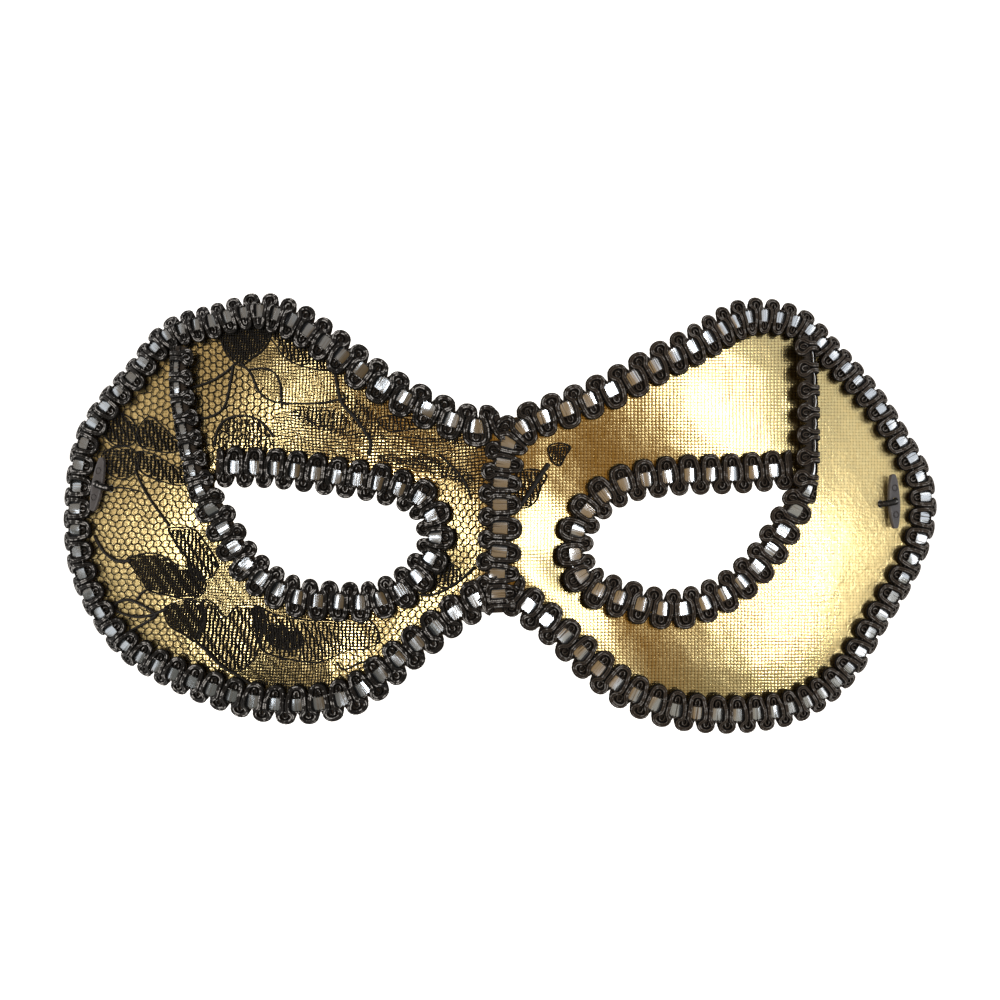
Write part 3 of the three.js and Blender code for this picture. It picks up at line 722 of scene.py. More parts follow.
def cord_finish(name, colours, twist, roughness):
    """Wound cord: fine threads that turn round it, sin(2 pi (length / twist + turn)), with uneven dark dye.
    Only the cord's crest, sin(2 pi turn), takes the lighter colour while its sides stay dark: a painted lit
    top and painted shade in the grooves beside the crest. A broken line of painted sheen, a highlight put
    into the colour, lies on the crest, and the crest is painted lighter and browner towards the plain half,
    standing in for the brighter light there."""
    f = Finish(name)
    u, v, _ = f.parts(f.place("UV"))
    wind = ((u / twist + v) * (2 * math.pi)).sine() * 0.5 + 0.5
    above = (v * (2 * math.pi)).sine()
    # The crest is the cord's top: colour lighter only there is a painted lit top, with painted shade down the
    # sides
    crest = above.step(0.8, 1.0)
    x, _, _ = f.parts(f.place())
    dye = f.noise(1.3, 3)
    fluff = f.noise(0.25, 2)
    plain = x.step(*PLAIN_RUN)
    # Painted light: the crest lightens by random dye, the threads' turns and, on the plain half, a painted
    # lighter brown for its brighter light
    shade = crest * (dye.step(0.3, 0.7) * 0.12 + wind * 0.1 + plain * 0.85)
    colour = f.mix(shade, rgba(colours[0]), rgba(colours[1]))
    # Painted sheen: a broken highlight line put into the colour along the crest, weaker on the plain half
    sheen = f.noise(0.9, 1).step(0.5, 0.62) * (wind * 0.7 + 0.3) * above.step(0.9, 0.98) * (plain * -0.65 + 1)
    colour = f.mix(sheen, colour, grey(0.62))
    normal = f.bump(wind, 0.07, 0.9, f.bump(fluff, 0.06, 0.7))
    rough = (crest * -1 + 1) * 0.4 + plain * 0.2 + fluff * 0.2 + roughness
    return f.surface(Base_Color=colour, Roughness=rough, Normal=normal, Specular_IOR_Level=0.2)


def ribbon_finish(colours):
    """Close ribbed ribbon: fine ribs across it, |sin(pi length / rib)|, in the braid's black. The ribs' tops
    take the lighter colour and the grooves between them the darker one: painted shade in the grooves.
    """
    f = Finish("ribbed_backing")
    u, _, _ = f.parts(f.place("UV"))
    rib = (u * (math.pi / RIB)).sine().size()
    # Painted shade: the grooves between the ribs take the darker colour, the rib tops the lighter one
    colour = f.mix(rib, rgba(colours[0]), rgba(colours[1]))
    return f.surface(Base_Color=colour, Roughness=f.noise(0.4) * 0.2 + 0.5, Normal=f.bump(rib, 0.08, 0.8),
                     Specular_IOR_Level=0.25)


def foil_finish():
    """Silver foil strip: fine pleats across it, a few soft dents and scuffs and a slowly changing tilt. The
    metal is painted darker on the lace's half: painted shade for the dimmer light on that side."""
    f = Finish("silver_foil")
    u, v, _ = f.parts(f.place("UV"))
    across = f.node("ShaderNodeCombineXYZ", None, {"X": u * 2.2, "Y": v * 0.12})
    pleats = f.node("ShaderNodeTexNoise", None, {"Vector": across, "Scale": 1.0, "Detail": 2.0}, "Fac")
    dents = f.noise(1.4, 2)
    x, _, _ = f.parts(f.place())
    # Painted shade: the foil's colour is darker on the lace's half, standing in for the dimmer light there
    bright = f.mix(x.step(*FOIL_RUN), rgba((0.36, 0.4, 0.44)), rgba((0.88, 0.94, 1.0)))
    colour = f.mix(pleats.step(0.38, 0.46), grey(0.3), bright)
    tilt = f.noise(9, 0)
    normal = f.bump(pleats, 0.08, 0.8, f.bump(dents, 0.03, 0.4, f.bump(tilt, 2.2, 1.0)))
    return f.surface(Base_Color=colour, Metallic=0.92, Roughness=dents * 0.12 + 0.14, Normal=normal)


def toggle_finish():
    """Smooth grey moulded plastic with a faint cloud in it and handling marks."""
    f = Finish("grey_toggle_plastic")
    cloud = f.noise(2.5, 3)
    marks = f.noise(0.3, 2)
    colour = f.mix(cloud, rgba((0.045, 0.042, 0.045)), rgba((0.10, 0.095, 0.10)))
    return f.surface(Base_Color=colour, Roughness=marks * 0.2 + 0.28, Normal=f.bump(marks, 0.03, 0.5))


def thread_finish():
    """Black lace thread: soft, uneven, faintly brown."""
    f = Finish("black_lace_thread")
    dye = f.noise(0.8, 2)
    colour = f.mix(dye, rgba((0.0015, 0.0014, 0.0014)), rgba((0.02, 0.018, 0.016)))
    return f.surface(Base_Color=colour, Roughness=dye * 0.3 + 0.45, Normal=f.bump(f.noise(0.2, 2), 0.05, 0.6),
                     Specular_IOR_Level=0.3)


# The shell and its layers

def first_crossing(centre, directions, outline):
    """Distance from the centre, in each direction, to the outline's nearest side."""
    a = outline - centre
    side = np.roll(a, -1, 0) - a
    d = directions[:, None, :]
    across = d[..., 0] * side[:, 1] - d[..., 1] * side[:, 0]
    across = np.where(np.abs(across) < 1e-12, 1e-12, across)
    reach = (a[:, 0] * side[:, 1] - a[:, 1] * side[:, 0]) / across
    share = (a[:, 0] * d[..., 1] - a[:, 1] * d[..., 0]) / across
    meets = (share >= -1e-9) & (share <= 1 + 1e-9) & (reach > 0)
    return np.where(meets, reach, np.inf).min(1)


def middle_crossings():
    """Heights at which the shell's outline crosses the middle line: lowest and highest."""
    a, b = SHELL_OUTLINE, np.roll(SHELL_OUTLINE, -1, 0)
    crossing = a[:, 0] * b[:, 0] < 0
    share = a[crossing, 0] / (a[crossing, 0] - b[crossing, 0])
    y = a[crossing, 1] + share * (b[crossing, 1] - a[crossing, 1])
    return y.min(), y.max()


def half_grid(side, opening, turns=340, rings=22):
    """One half of the face between its eye opening and its outline, as rays from the eye's middle: a point at
    share s of a ray lies at inner + s * (outer - inner). The other end of some rays is the middle line."""
    centre = np.array([side * HALF_CENTRE[0], HALF_CENTRE[1]])
    low, high = middle_crossings()
    corners = [math.atan2(y - centre[1], -side * centre[0]) for y in (low, high)]
    angle = np.union1d(np.linspace(-np.pi, np.pi, turns, endpoint=False), corners)
    along = np.stack([side * np.cos(angle), np.sin(angle)], -1)
    outer = first_crossing(centre, along, SHELL_OUTLINE)
    inwards = -side * along[:, 0]
    to_middle = np.where(inwards > TINY, side * centre[0] / np.maximum(inwards, TINY), np.inf)
    on_middle = to_middle <= outer + TINY
    outer = np.minimum(outer, to_middle)
    inner = first_crossing(centre, along, opening)
    share = np.linspace(0, 1, rings)[None, :, None]
    reach = inner[:, None, None] + share * (outer - inner)[:, None, None]
    grid = centre + reach * along[:, None, :]
    grid[on_middle, -1, 0] = 0
    return (grid if side > 0 else grid[::-1]), (on_middle if side > 0 else on_middle[::-1])


def flat_length():
    """Lengths over the face from its middle: along X at the eyes' height, and along Y through an eye."""
    x = np.linspace(-95, 95, 761)
    y = np.linspace(-50, 50, 401)
    eye_x, eye_y = 36, -4
    over_x = running_length(np.stack([x, face_height(x, np.full_like(x, eye_y))], -1))
    over_y = running_length(np.stack([y, face_height(np.full_like(y, eye_x), y)], -1))
    return (x, over_x - over_x[-1] / 2), (y, over_y - over_y[-1] / 2)


def face_layer(low, high):
    """A closed layer of the face between two heights above the shell's front, opened at the eyes: a front
    and a back grid for each half, joined by upright walls, and flat where it meets the table."""
    skin = Skin()
    (x_at, x_long), (y_at, y_long) = flat_length()
    for side, opening in ((-1, LEFT_OPENING), (1, RIGHT_OPENING)):
        grid, on_middle = half_grid(side, opening)
        x, y = grid[..., 0], grid[..., 1]
        slope = face_normal(x, y)[..., 2]
        sheets = [np.stack([x, y, np.maximum(face_height(x, y) + h / slope, 0)], -1) for h in (high, low)]
        turns, rings = x.shape
        points = np.vstack([s.reshape(-1, 3) for s in sheets])
        index = np.arange(turns * rings).reshape(turns, rings)
        index = np.vstack([index, index[:1]])
        behind = turns * rings
        back = grid_quads(index[None]) + behind
        front = back[:, ::-1] - behind
        eye, edge = index[:, 0], index[:, -1]
        inner = np.stack([eye[:-1], eye[1:], eye[1:] + behind, eye[:-1] + behind], -1)
        outer = np.stack([edge[1:], edge[:-1], edge[:-1] + behind, edge[1:] + behind], -1)
        seam = on_middle & np.roll(on_middle, -1)
        quads = np.vstack([front, back, inner, outer[~seam]])
        uv = np.stack([np.interp(points[:, 0], x_at, x_long), np.interp(points[:, 1], y_at, y_long)], -1)
        skin.add(points, quads, uv[quads])
    return weld(skin)


def weld(skin):
    """Joins the points of a Skin that lie at one place."""
    points = np.vstack(skin.points)
    _, first, same = np.unique(np.round(points, 4), axis=0, return_index=True, return_inverse=True)
    same = same.ravel()
    skin.points = [points[first]]
    skin.quads = [same[np.vstack(skin.quads)]]
    return skin


def drill_holes(piece):
    """Cuts the elastic's two holes through a layer, square to the shell."""
    skin = Skin()
    for _, _, hole in TOGGLES.values():
        path = on_face(*foot_under(*hole, CLOTH[1]), [-HOLE_DEPTH, HOLE_DEPTH])
        skin.cord(path, np.array([0, 1, 0]), SHELL_HOLE / 2, 32, np.zeros(2))
    return cut_away(piece, skin, 50)


# The braid

# Columns of a braid line's values
FOOT, ACROSS, ROLL, BENT, PITCH = slice(0, 2), slice(2, 5), 5, 6, 7


class BraidLine:
    """Where a braid lies. Its phase grows by one with each of its units: the length along the face divided by
    the local pitch, evened out so that the braid ends on a whole unit."""

    def __init__(self, line, outward, units, pitches, on_edge=False, rolled=False, facing=0, drop_foil=0):
        fine = curve_through(line, fine=80)
        share = running_length(fine)
        share = share / share[-1]
        along = np.linspace(0, 1, 3000)
        top = sample(along, share, fine)
        ahead = unit(np.column_stack([np.gradient(top, axis=0), np.zeros(len(top))]))
        foot = np.stack(foot_under(top[:, 0], top[:, 1], BRAID_TOP), -1)
        normal = face_normal(foot[:, 0], foot[:, 1])
        ahead = unit(ahead - (ahead * normal).sum(1, keepdims=True) * normal)
        across = np.cross(ahead, normal) * outward
        length = running_length(np.column_stack([top, face_height(top[:, 0], top[:, 1])]))
        places, pitch = np.array(pitches, float).T
        pitch = np.interp(length / length[-1], places, pitch)
        phase = np.concatenate([[0], np.cumsum(np.diff(length) / ((pitch[1:] + pitch[:-1]) / 2))])
        self.phase = phase * units / phase[-1]
        self.units = units
        roll = EDGE_ROLL * smooth(*ROLL_RUN, np.abs(foot[:, 0])) if on_edge else 0 * along
        bent = (1 - smooth(*DROP_END, along)) * rolled
        pitch = np.gradient(length, self.phase)
        self.facing = math.radians(facing)
        self.drop_foil = drop_foil
        self.values = np.column_stack([foot, across, np.radians(roll), bent, pitch])

    def at(self, phase):
        """The line's values at a phase, in the columns above."""
        return sample(phase, self.phase, self.values)

    def bent(self, phase):
        """How far the braid is rolled at a phase, from 0 to 1."""
        return self.at(phase)[..., BENT]

    def pitch(self, phase):
        """Length of a unit there."""
        return self.at(phase)[..., PITCH]

    def place(self, phase, reach, height, least=0.0):
        """The point at a phase, a reach across the braid (its outer side is positive) and a height above
        the braid's underside. Past the shell's edge the braid turns down. On its upright run it is rolled
        about its length to a pressed half tube, sin(angle) / bend aside and 0.6 cos(angle) / bend up,
        facing the temple. Gives the point and the way the braid faces there."""
        v = self.at(phase)
        roll, bent = v[..., ROLL], v[..., BENT]
        reach = reach * (1 - DROP_GATHER * bent)
        past = np.maximum(0, reach - EDGE_TURN)
        wide = reach - past + past * np.cos(roll)
        high = height - past * np.sin(roll)
        bend = np.maximum(bent, 1e-4) / DROP_ROLL
        faced = self.facing * bent
        angle = faced + bend * wide
        lowest = np.minimum(np.cos(faced - bend * BRAID_HALF), np.cos(faced + bend * BRAID_HALF))
        aside = (np.sin(angle) - np.sin(faced)) / bend + high * np.sin(angle)
        rise = ((np.cos(angle) - lowest) / bend + high * np.cos(angle)) * (1 - DROP_FLAT * bent)
        aside = aside - DROP_ASIDE * bent
        foot, across = v[..., FOOT], v[..., ACROSS]
        x = foot[..., 0] + across[..., 0] * aside
        y = foot[..., 1] + across[..., 1] * aside
        point = on_face(x, y, BRAID_BASE + np.where(bent > 0, np.maximum(rise, DROP_LEAST), rise))
        point[..., 2] = np.maximum(point[..., 2], least)
        way = np.cos(angle)[..., None] * face_normal(x, y) + np.sin(angle)[..., None] * across
        return point, unit(way)


# One unit of the braid: the doubled cord's middle, seen from above
LEG_MIDDLE = 0.54
LEG_REACH = 1.05
LEG_FLARE = 0.06
LOOP_REACH = 2.42
LOOP_HEIGHT = 1.12
OUTER_SWEEP = (90, -32)
INNER_SWEEP = (212, 270)
NOMINAL_PITCH = 4.6
# The cords: each one's middle aside, in radii, its lift off the cloth, how far the necks reach, and the share
# of its width that is the same at every pitch
CORD_ASIDE = 0.58
CORD_LIFT = 0.1
NECK_HALF = 1.7
CORD_EVEN = 0.3
# The small ring in a loop: its half size, its middle's share of the loop's reach, its height and its radius
RING_HALF = (0.5, 0.72)
RING_PLACE = 0.84
RING_HEIGHT = 0.45
RING_LEAST = 0.36
RING_RADIUS = 0.3
# The binding threads: reach, height, lowest point, sway and share of their width lost on the rolled run
BINDING_REACH = 1.42
BINDING_HEIGHT = 0.78
BINDING_LEAST = 0.2
BINDING_SWAY = 0.07
BINDING_GATHER = 0.55
# The ribbon and the foil under the cords
RIBBON_NARROW = 1.7
RIBBON_SWELL = 2.0
RIBBON_HEIGHTS = (0.26, 0.34, 0.34, 0.34, 0.26, 0.1, 0.1, 0.1)
FOIL_BASE = 0.5
FOIL_THICKNESS = 0.1
LEAST = 0.05


def serpentine(width, steps=20):
    """The middle of the doubled cord in one unit, as (phase from the middle of the unit, reach): round the
    oval outer loop, down a straight leg, and round the inner loop, which is shared with the next unit."""
    def arc(x, y, sweep, count):
        a = np.radians(np.linspace(*sweep, count))
        return np.stack([x + width * np.cos(a), y + LOOP_HEIGHT * np.sin(a)], -1)

    flared = LEG_MIDDLE + LEG_FLARE
    leg = [(flared, LEG_REACH), (LEG_MIDDLE, 0), (flared, -LEG_REACH)]
    inner = arc(NOMINAL_PITCH / 2, -LOOP_REACH, INNER_SWEEP, 4)
    half = spaced(curve_through(np.vstack([arc(0, LOOP_REACH, OUTER_SWEEP, 7), leg, inner])), steps + 1)
    return np.vstack([half[::-1] * (-1, 1), half[1:]])


def strand(braid, offset, settings):
    """The path of one strand through every unit, beside the doubled cord's middle by the offset, in (phase,
    reach): the offset is square to the path as it lies on the face."""
    one = serpentine(settings.loop_radius)
    ahead = unit(np.gradient(one, axis=0))
    one = one + offset * np.stack([-ahead[:, 1], ahead[:, 0]], -1)
    one[:, 0] /= NOMINAL_PITCH
    units = np.arange(braid.units)[:, None]
    phase = (units + 0.5 + one[None, :-1, 0]).ravel()
    return phase, np.tile(one[:-1, 1], braid.units)


def braid_cords(line, settings):
    """The doubled cord of a braid and a small ring in each loop. The cord's middle stands at r + lift +
    rise * exp(-(reach / neck)^4) over the braid's underside, so that its necks arch over the foil, and its
    loops lie down on the cloth."""
    skin = Skin()
    r = settings.cord_diameter / 2
    for offset in (-CORD_ASIDE * r, CORD_ASIDE * r):
        phase, reach = strand(line, offset, settings)
        height = r + CORD_LIFT + settings.neck_rise * np.exp(-((reach / NECK_HALF) ** 4))
        path, up = line.place(phase, reach, height, r)
        width = r * (CORD_EVEN + (1 - CORD_EVEN) * line.pitch(phase) / NOMINAL_PITCH)
        skin.cord(path, up, width, 6)

    steps, sides = 10, 5
    turn = 2 * np.pi * np.arange(steps) / steps
    outer = np.stack([np.arange(line.units) + 0.5, np.full(line.units, LOOP_REACH)], -1)
    inner = np.stack([np.arange(1, line.units), np.full(line.units - 1, -LOOP_REACH)], -1)
    middle = np.concatenate([outer, inner])
    phase = middle[:, :1] + RING_HALF[0] * np.cos(turn) / NOMINAL_PITCH
    reach = middle[:, 1:] * RING_PLACE + RING_HALF[1] * np.sin(turn)
    path, up = line.place(phase, reach, RING_HEIGHT, RING_LEAST)
    rings = round_rings(path, up, RING_RADIUS, sides, looped=True)
    length = np.broadcast_to(np.arange(steps + 1) * 0.29, (len(middle), steps + 1))
    skin.tubes(rings, tube_uv(length, sides), looped=True)
    return skin


def binding_threads(line, settings):
    """Two twisted threads along the braid at the feet of its necks: round tubes whose radius swells with each
    twist, r * (0.76 + 0.24 cos(2 pi length / twist)), and that step aside a little at every twist."""
    skin = Skin()
    steps = 28
    phase = np.arange(line.units * steps + 1) / steps
    run = np.cumsum(np.gradient(line.phase) * line.values[:, PITCH])
    length = np.interp(phase, line.phase, run)
    swell = np.cos(2 * np.pi * length / settings.binding_twist)
    narrow = 1 - BINDING_GATHER * line.bent(phase)
    radius = settings.binding_diameter / 2 * (0.76 + 0.24 * swell)
    for side in (-BINDING_REACH, BINDING_REACH):
        reach = side * narrow + BINDING_SWAY * np.roll(swell, 2)
        path, up = line.place(phase, reach, BINDING_HEIGHT, BINDING_LEAST)
        skin.cord(path, up, radius, 5, length)
    return skin


def flat_strip(line, phase, reach, height):
    """A strip along a braid from its section's reaches and heights, in braid units along its length."""
    skin = Skin()
    at = np.broadcast_to(phase[:, None], reach.shape)
    points, _ = line.place(at, reach, height, LEAST)
    round_it = np.concatenate([reach, reach[:, :1]], 1)
    length = np.broadcast_to(phase[:, None] * NOMINAL_PITCH, round_it.shape)
    skin.tubes(points[None], np.stack([length, round_it], -1)[None])
    return skin


def backing_ribbon(line):
    """The woven ground under the cords: a thin strip whose edges go out and in with the loops. Its reach on
    the outer side is 1.7 + 2 * |cos(pi phase)|^0.5 from the middle of a unit, and half a unit on for the
    inner one."""
    phase = np.arange(line.units * 12 + 1) / 12
    inner = RIBBON_NARROW + RIBBON_SWELL * np.abs(np.cos(np.pi * phase)) ** 0.5
    outer = RIBBON_NARROW + RIBBON_SWELL * np.abs(np.cos(np.pi * (phase - 0.5))) ** 0.5
    reach = np.stack([-inner, -inner / 2, 0 * inner, outer / 2, outer, outer, 0 * inner, -inner], -1)
    return flat_strip(line, phase, reach, np.array(RIBBON_HEIGHTS))


def foil_strip(line, settings):
    """The foil under the necks: a thin flat strip whose height is base + rise * sin^2(pi (phase + 1/2)), so
    that it bulges in each window between two necks, by an amount of the window's own."""
    phase = np.arange(9, line.units * 14 - 8) / 14
    own = 1 + 0.45 * np.sin(2.3 * np.round(phase) + 1.7 * np.sin(0.9 * np.round(phase)))
    rise = FOIL_BASE + settings.foil_rise * own * np.sin(np.pi * (phase + 0.5)) ** 2
    narrow = 1 - (1 - line.drop_foil) * line.bent(phase)[:, None]
    across = narrow * np.array([-1, 0, 1, 1, 0, -1]) * settings.foil_width / 2
    below = np.array([0, 0, 0, -1, -1, -1]) * FOIL_THICKNESS
    return flat_strip(line, phase, across, rise[:, None] + below)


# The lace

def net_threads(cell, turn, tall):
    """The sides of hexagons whose middles stand a cell apart in rows, as pairs of ends: three sides of
    each, so that none is laid twice. The net is turned, stretched upwards, and wavers by about an eighth of
    a cell."""
    i, j = np.meshgrid(np.arange(-NET_CELLS, NET_CELLS + 1), np.arange(-NET_CELLS, NET_CELLS + 1))
    middle = cell * np.stack([i + j / 2, j * math.sqrt(0.75)], -1).reshape(-1, 1, 2)
    angle = np.radians([90, 30, -30, 150])
    corners = middle + cell / math.sqrt(3) * np.stack([np.cos(angle), np.sin(angle)], -1)
    threads = np.concatenate([corners[:, [0, 1]], corners[:, [1, 2]], corners[:, [3, 0]]])
    turn = math.radians(turn)
    x, y = threads[..., 0], threads[..., 1] * tall
    x, y = x * math.cos(turn) - y * math.sin(turn), x * math.sin(turn) + y * math.cos(turn)
    waver = 0.12 * cell
    x = x + waver * np.sin(0.7 * y + 0.31 * x) + waver * np.sin(2.1 * y)
    y = y + waver * np.sin(0.9 * x) + waver * np.sin(1.7 * x + y)
    return np.stack([x + NET_MIDDLE, y], -1)


def fill_threads(outline, gap, upright, step=0.7):
    """Short lengths of the threads that fill an outline, a gap apart and all one way, as pairs of ends. They
    waver a little, and each length is kept if both its ends lie in the outline."""
    low, high = outline.min(0) - 1, outline.max(0) + 1
    across = np.arange(low[0 if upright else 1], high[0 if upright else 1], gap)
    along = np.arange(low[1 if upright else 0], high[1 if upright else 0], step)
    a, b = np.meshgrid(across, along, indexing="ij")
    waver = 0.16 * np.sin(1.9 * b + 2.7 * a) + 0.1 * np.sin(4.1 * b - a)
    a = a + gap * (waver + 0.5 * np.sin(0.33 * b + 0.2 * a))
    points = np.stack([a, b] if upright else [b, a], -1)
    within = inside(points, outline)
    keep = within[:, :-1] & within[:, 1:]
    return np.stack([points[:, :-1][keep], points[:, 1:][keep]], 1)


def add_threads(skin, threads, radius, height=LACE_MIDDLE):
    """Lays straight closed three-sided threads on the face at a height above the shell."""
    path = on_face(threads[..., 0], threads[..., 1], height)
    up = face_normal(threads[..., 0], threads[..., 1])
    length = np.linalg.norm(threads[:, 1] - threads[:, 0], axis=-1)
    places = np.stack([0 * length, length], -1) + threads[:, :1, 0] * 3
    skin.tubes(round_rings(path, up, radius, 3), tube_uv(places, 3))


def on_lace_half(threads):
    """Which threads lie on the lace's half: inside the shell's edge, off the eye and off the elastic's
    hole."""
    middle = threads.mean(1)
    x, y = foot_under(*TOGGLES["left"][2], CLOTH[1])
    clear = np.hypot(middle[:, 0] - x, middle[:, 1] - y) > SHELL_HOLE / 2 + 0.2
    ends = [inside(threads[:, k], SHELL_OUTLINE) & ~inside(threads[:, k], LEFT_OPENING) for k in (0, 1)]
    return clear & ends[0] & ends[1] & (threads[..., 0].max(1) < LACE_HALF_ENDS)


def lace_net(settings, keep_off):
    """The hexagonal net, in two strips that are turned differently, left open where the outlines lie."""
    nets = []
    middle, half = LACE_AREA
    for high, turn in zip((True, False), LACE_TURNS):
        net = net_threads(settings.cell, turn, 1.0 if high else 0.9)
        net = net[(np.abs(net.mean(1) - middle) < half).all(1)]
        net = net[(net[:, 0, 1] > LACE_SPLIT) == high]
        net = net[on_lace_half(net)]
        for outline in keep_off:
            net = net[~inside(net.mean(1), outline)]
        nets.append(net)
    return nets


def lace_cloth(settings):
    """The lace: the net, filled flowers and leaves that are each edged by a thicker thread, veils of finer
    threads between them, and stems."""
    skin = Skin()
    shapes = {name: (fill, curve_through(points, closed=True, fine=8)[:-1])
              for name, (fill, points) in LACE_SHAPES.items()}
    for net in lace_net(settings, [outline for fill, outline in shapes.values() if fill != "fine"]):
        add_threads(skin, net, settings.thread / 2)
    motifs = [outline for fill, outline in shapes.values() if fill in MOTIF_FILLS]
    for name, (fill, outline) in shapes.items():
        over_seam = name.startswith("over_seam")
        up_gap, up_radius, level_gap, level_radius = LACE_FILLS[fill]
        for way, gap, radius in (("upright", up_gap, up_radius), ("level", level_gap, level_radius)):
            threads = fill_threads(outline, gap, way == "upright")
            if not over_seam:
                threads = threads[on_lace_half(threads)]
            if fill in VEIL_FILLS:
                for motif in motifs:
                    threads = threads[~inside(threads.mean(1), motif)]
            add_threads(skin, threads, radius, LACE_MIDDLE + LIFTS[way])
        if fill in MOTIF_FILLS:
            edge = np.stack([outline, np.roll(outline, -1, 0)], 1)
            edge = edge if over_seam else edge[on_lace_half(edge)]
            add_threads(skin, edge, LACE_EDGE, LACE_MIDDLE + LIFTS["edge"])
    for radius, points in LACE_STEMS.values():
        line = curve_through(points, fine=8)
        path = on_face(line[:, 0], line[:, 1], LACE_MIDDLE + LIFTS["stem"])
        skin.cord(path, face_normal(line[:, 0], line[:, 1]), radius * STEM_SWELL, 6)
    return skin


# The toggles and the elastic

def toggle_bar(middle, lean):
    """A bar pointed at both ends: half width = end + (full - end) * (1 - (y / half)^2)^0.8, with round
    shoulders from a superellipse section, laid on the face."""
    x, y = foot_under(*middle, BRAID_BASE)
    origin = on_face(x, y, BRAID_BASE)
    normal = face_normal(x, y)
    tip = np.array([-math.sin(math.radians(lean)), math.cos(math.radians(lean)), 0])
    tip = unit(tip - tip @ normal * normal)
    right = np.cross(tip, normal)
    half = TOGGLE_LENGTH / 2
    t = np.sin(np.linspace(-np.pi / 2, np.pi / 2, 41))
    width = TOGGLE_END / 2 + (TOGGLE_WIDTH - TOGGLE_END) / 2 * (1 - t * t) ** 0.8
    fade = 0.35 + 0.65 * np.minimum(1, (1 - np.abs(t)) / 0.04) ** 0.5
    a = 2 * np.pi * (np.arange(28) + 0.5) / 28
    cx = np.sign(np.cos(a)) * np.abs(np.cos(a)) ** 0.4
    cz = np.sign(np.sin(a)) * np.abs(np.sin(a)) ** 0.4
    high = TOGGLE_THICKNESS / 2
    across = (width * fade)[:, None] * cx
    up = high + high * fade[:, None] * cz
    points = origin + across[..., None] * right + (t * half)[:, None, None] * tip + up[..., None] * normal
    skin = Skin()
    skin.tubes(points[None], tube_uv(((t + 1) * half)[None], 28))
    return skin, origin, right, tip, normal


def toggle_cutters(origin, right, tip, normal):
    """A round hole through the middle of the bar, and a shallow ring groove at each side of it."""
    skin = Skin()
    steps, sides = 24, 8
    path = origin + np.array([-1.0, 2.2])[:, None] * normal
    skin.cord(path, tip, TOGGLE_HOLE, steps, np.zeros(2))
    a = 2 * np.pi * np.arange(steps) / steps
    b = 2 * np.pi * np.arange(sides) / sides
    out = np.cos(a)[:, None] * right + np.sin(a)[:, None] * tip
    radius, at = TOGGLE_DIMPLE
    wide, deep = TOGGLE_GROOVE
    for place in (-at, at):
        centre = origin + place * tip + TOGGLE_THICKNESS * normal
        reach = radius + wide * np.cos(b)
        rings = centre + reach[None, :, None] * out[:, None] + deep * np.sin(b)[None, :, None] * normal
        skin.tubes(rings[None], tube_uv(np.arange(steps + 1)[None] * 0.1, sides), looped=True)
    return skin


def loop_path(middle, hole):
    """The elastic's end on the front: out of the toggle's hole, over its side and down through the shell."""
    start = np.array(foot_under(*middle, BRAID_BASE))
    end = np.array(foot_under(*hole, CLOTH[1]))
    top = BRAID_BASE + TOGGLE_THICKNESS
    rise = ELASTIC_DIAMETER / 2 + 0.2
    steps = [(0, BRAID_BASE + 0.3), (0.02, top + 0.25), (0.28, top + rise), (0.7, top + rise),
             (0.99, top - 0.1), (1, BRAID_BASE), (1, -1.4)]
    feet = np.array([start + (end - start) * share for share, _ in steps])
    return on_face(feet[:, 0], feet[:, 1], [height for _, height in steps])


def elastic_path():
    """The elastic behind the mask, from one temple's hole down to the table, and along it to the other."""
    left, right = (on_face(*foot_under(*hole, CLOTH[1]), ELASTIC_EXIT) for _, _, hole in TOGGLES.values())
    return np.vstack([left, ELASTIC_ROUTE, right[::-1]])


def round_cord(points, diameter, steps, sides=14):
    """An even round tube along a smooth line through the points. Its rings face upwards, or along the line's
    heading where it is steep. Gives the tube and its path."""
    path = spaced(curve_through(points), steps + 1)
    skin = Skin()
    ahead = unit(np.gradient(path, axis=0))
    lift = np.array([0, 0, 1])
    steep = smooth(0.8, 0.98, np.abs(ahead[:, 2]))[:, None]
    heading = unit(path[-1] - path[0]) * (1, 1, 0)
    up = lift * (1 - steep) + steep * unit(heading + 1e-9) * -np.sign(ahead[:, 2:3] + 1e-9)
    skin.cord(path, up, diameter / 2, sides)
    return skin, path


# Settings that a user would change

class GoldSettings(bpy.types.PropertyGroup):
    thread_across: FloatProperty(
        name="Thread pitch across", description="Width of an upright thread, mm", default=0.74)
    thread_up: FloatProperty(name="Thread pitch up", description="Width of a level thread, mm", default=0.66)
    thread_light: FloatVectorProperty(
        name="Light thread", description="Brightest metal thread", subtype="COLOR",
        default=(0.93, 0.77, 0.38))
    thread_dark: FloatVectorProperty(
        name="Dark thread", description="Darkest metal thread", subtype="COLOR", default=(0.82, 0.64, 0.29))
    gap: FloatVectorProperty(
        name="Gap", description="Colour between the threads", subtype="COLOR", default=(0.28, 0.19, 0.07))
    roughness: FloatProperty(
        name="Roughness", description="Least roughness of the metal threads", subtype="FACTOR", default=0.18)
    crease: FloatProperty(
        name="Creases", description="Strength of the cloth's soft creases", subtype="FACTOR", default=0.35)


class LaceSettings(bpy.types.PropertyGroup):
    cell: FloatProperty(
        name="Net cell", description="Distance between the middles of the net's holes, mm", default=1.5)
    thread: FloatProperty(name="Net thread", description="Diameter of the net's threads, mm", default=0.23)


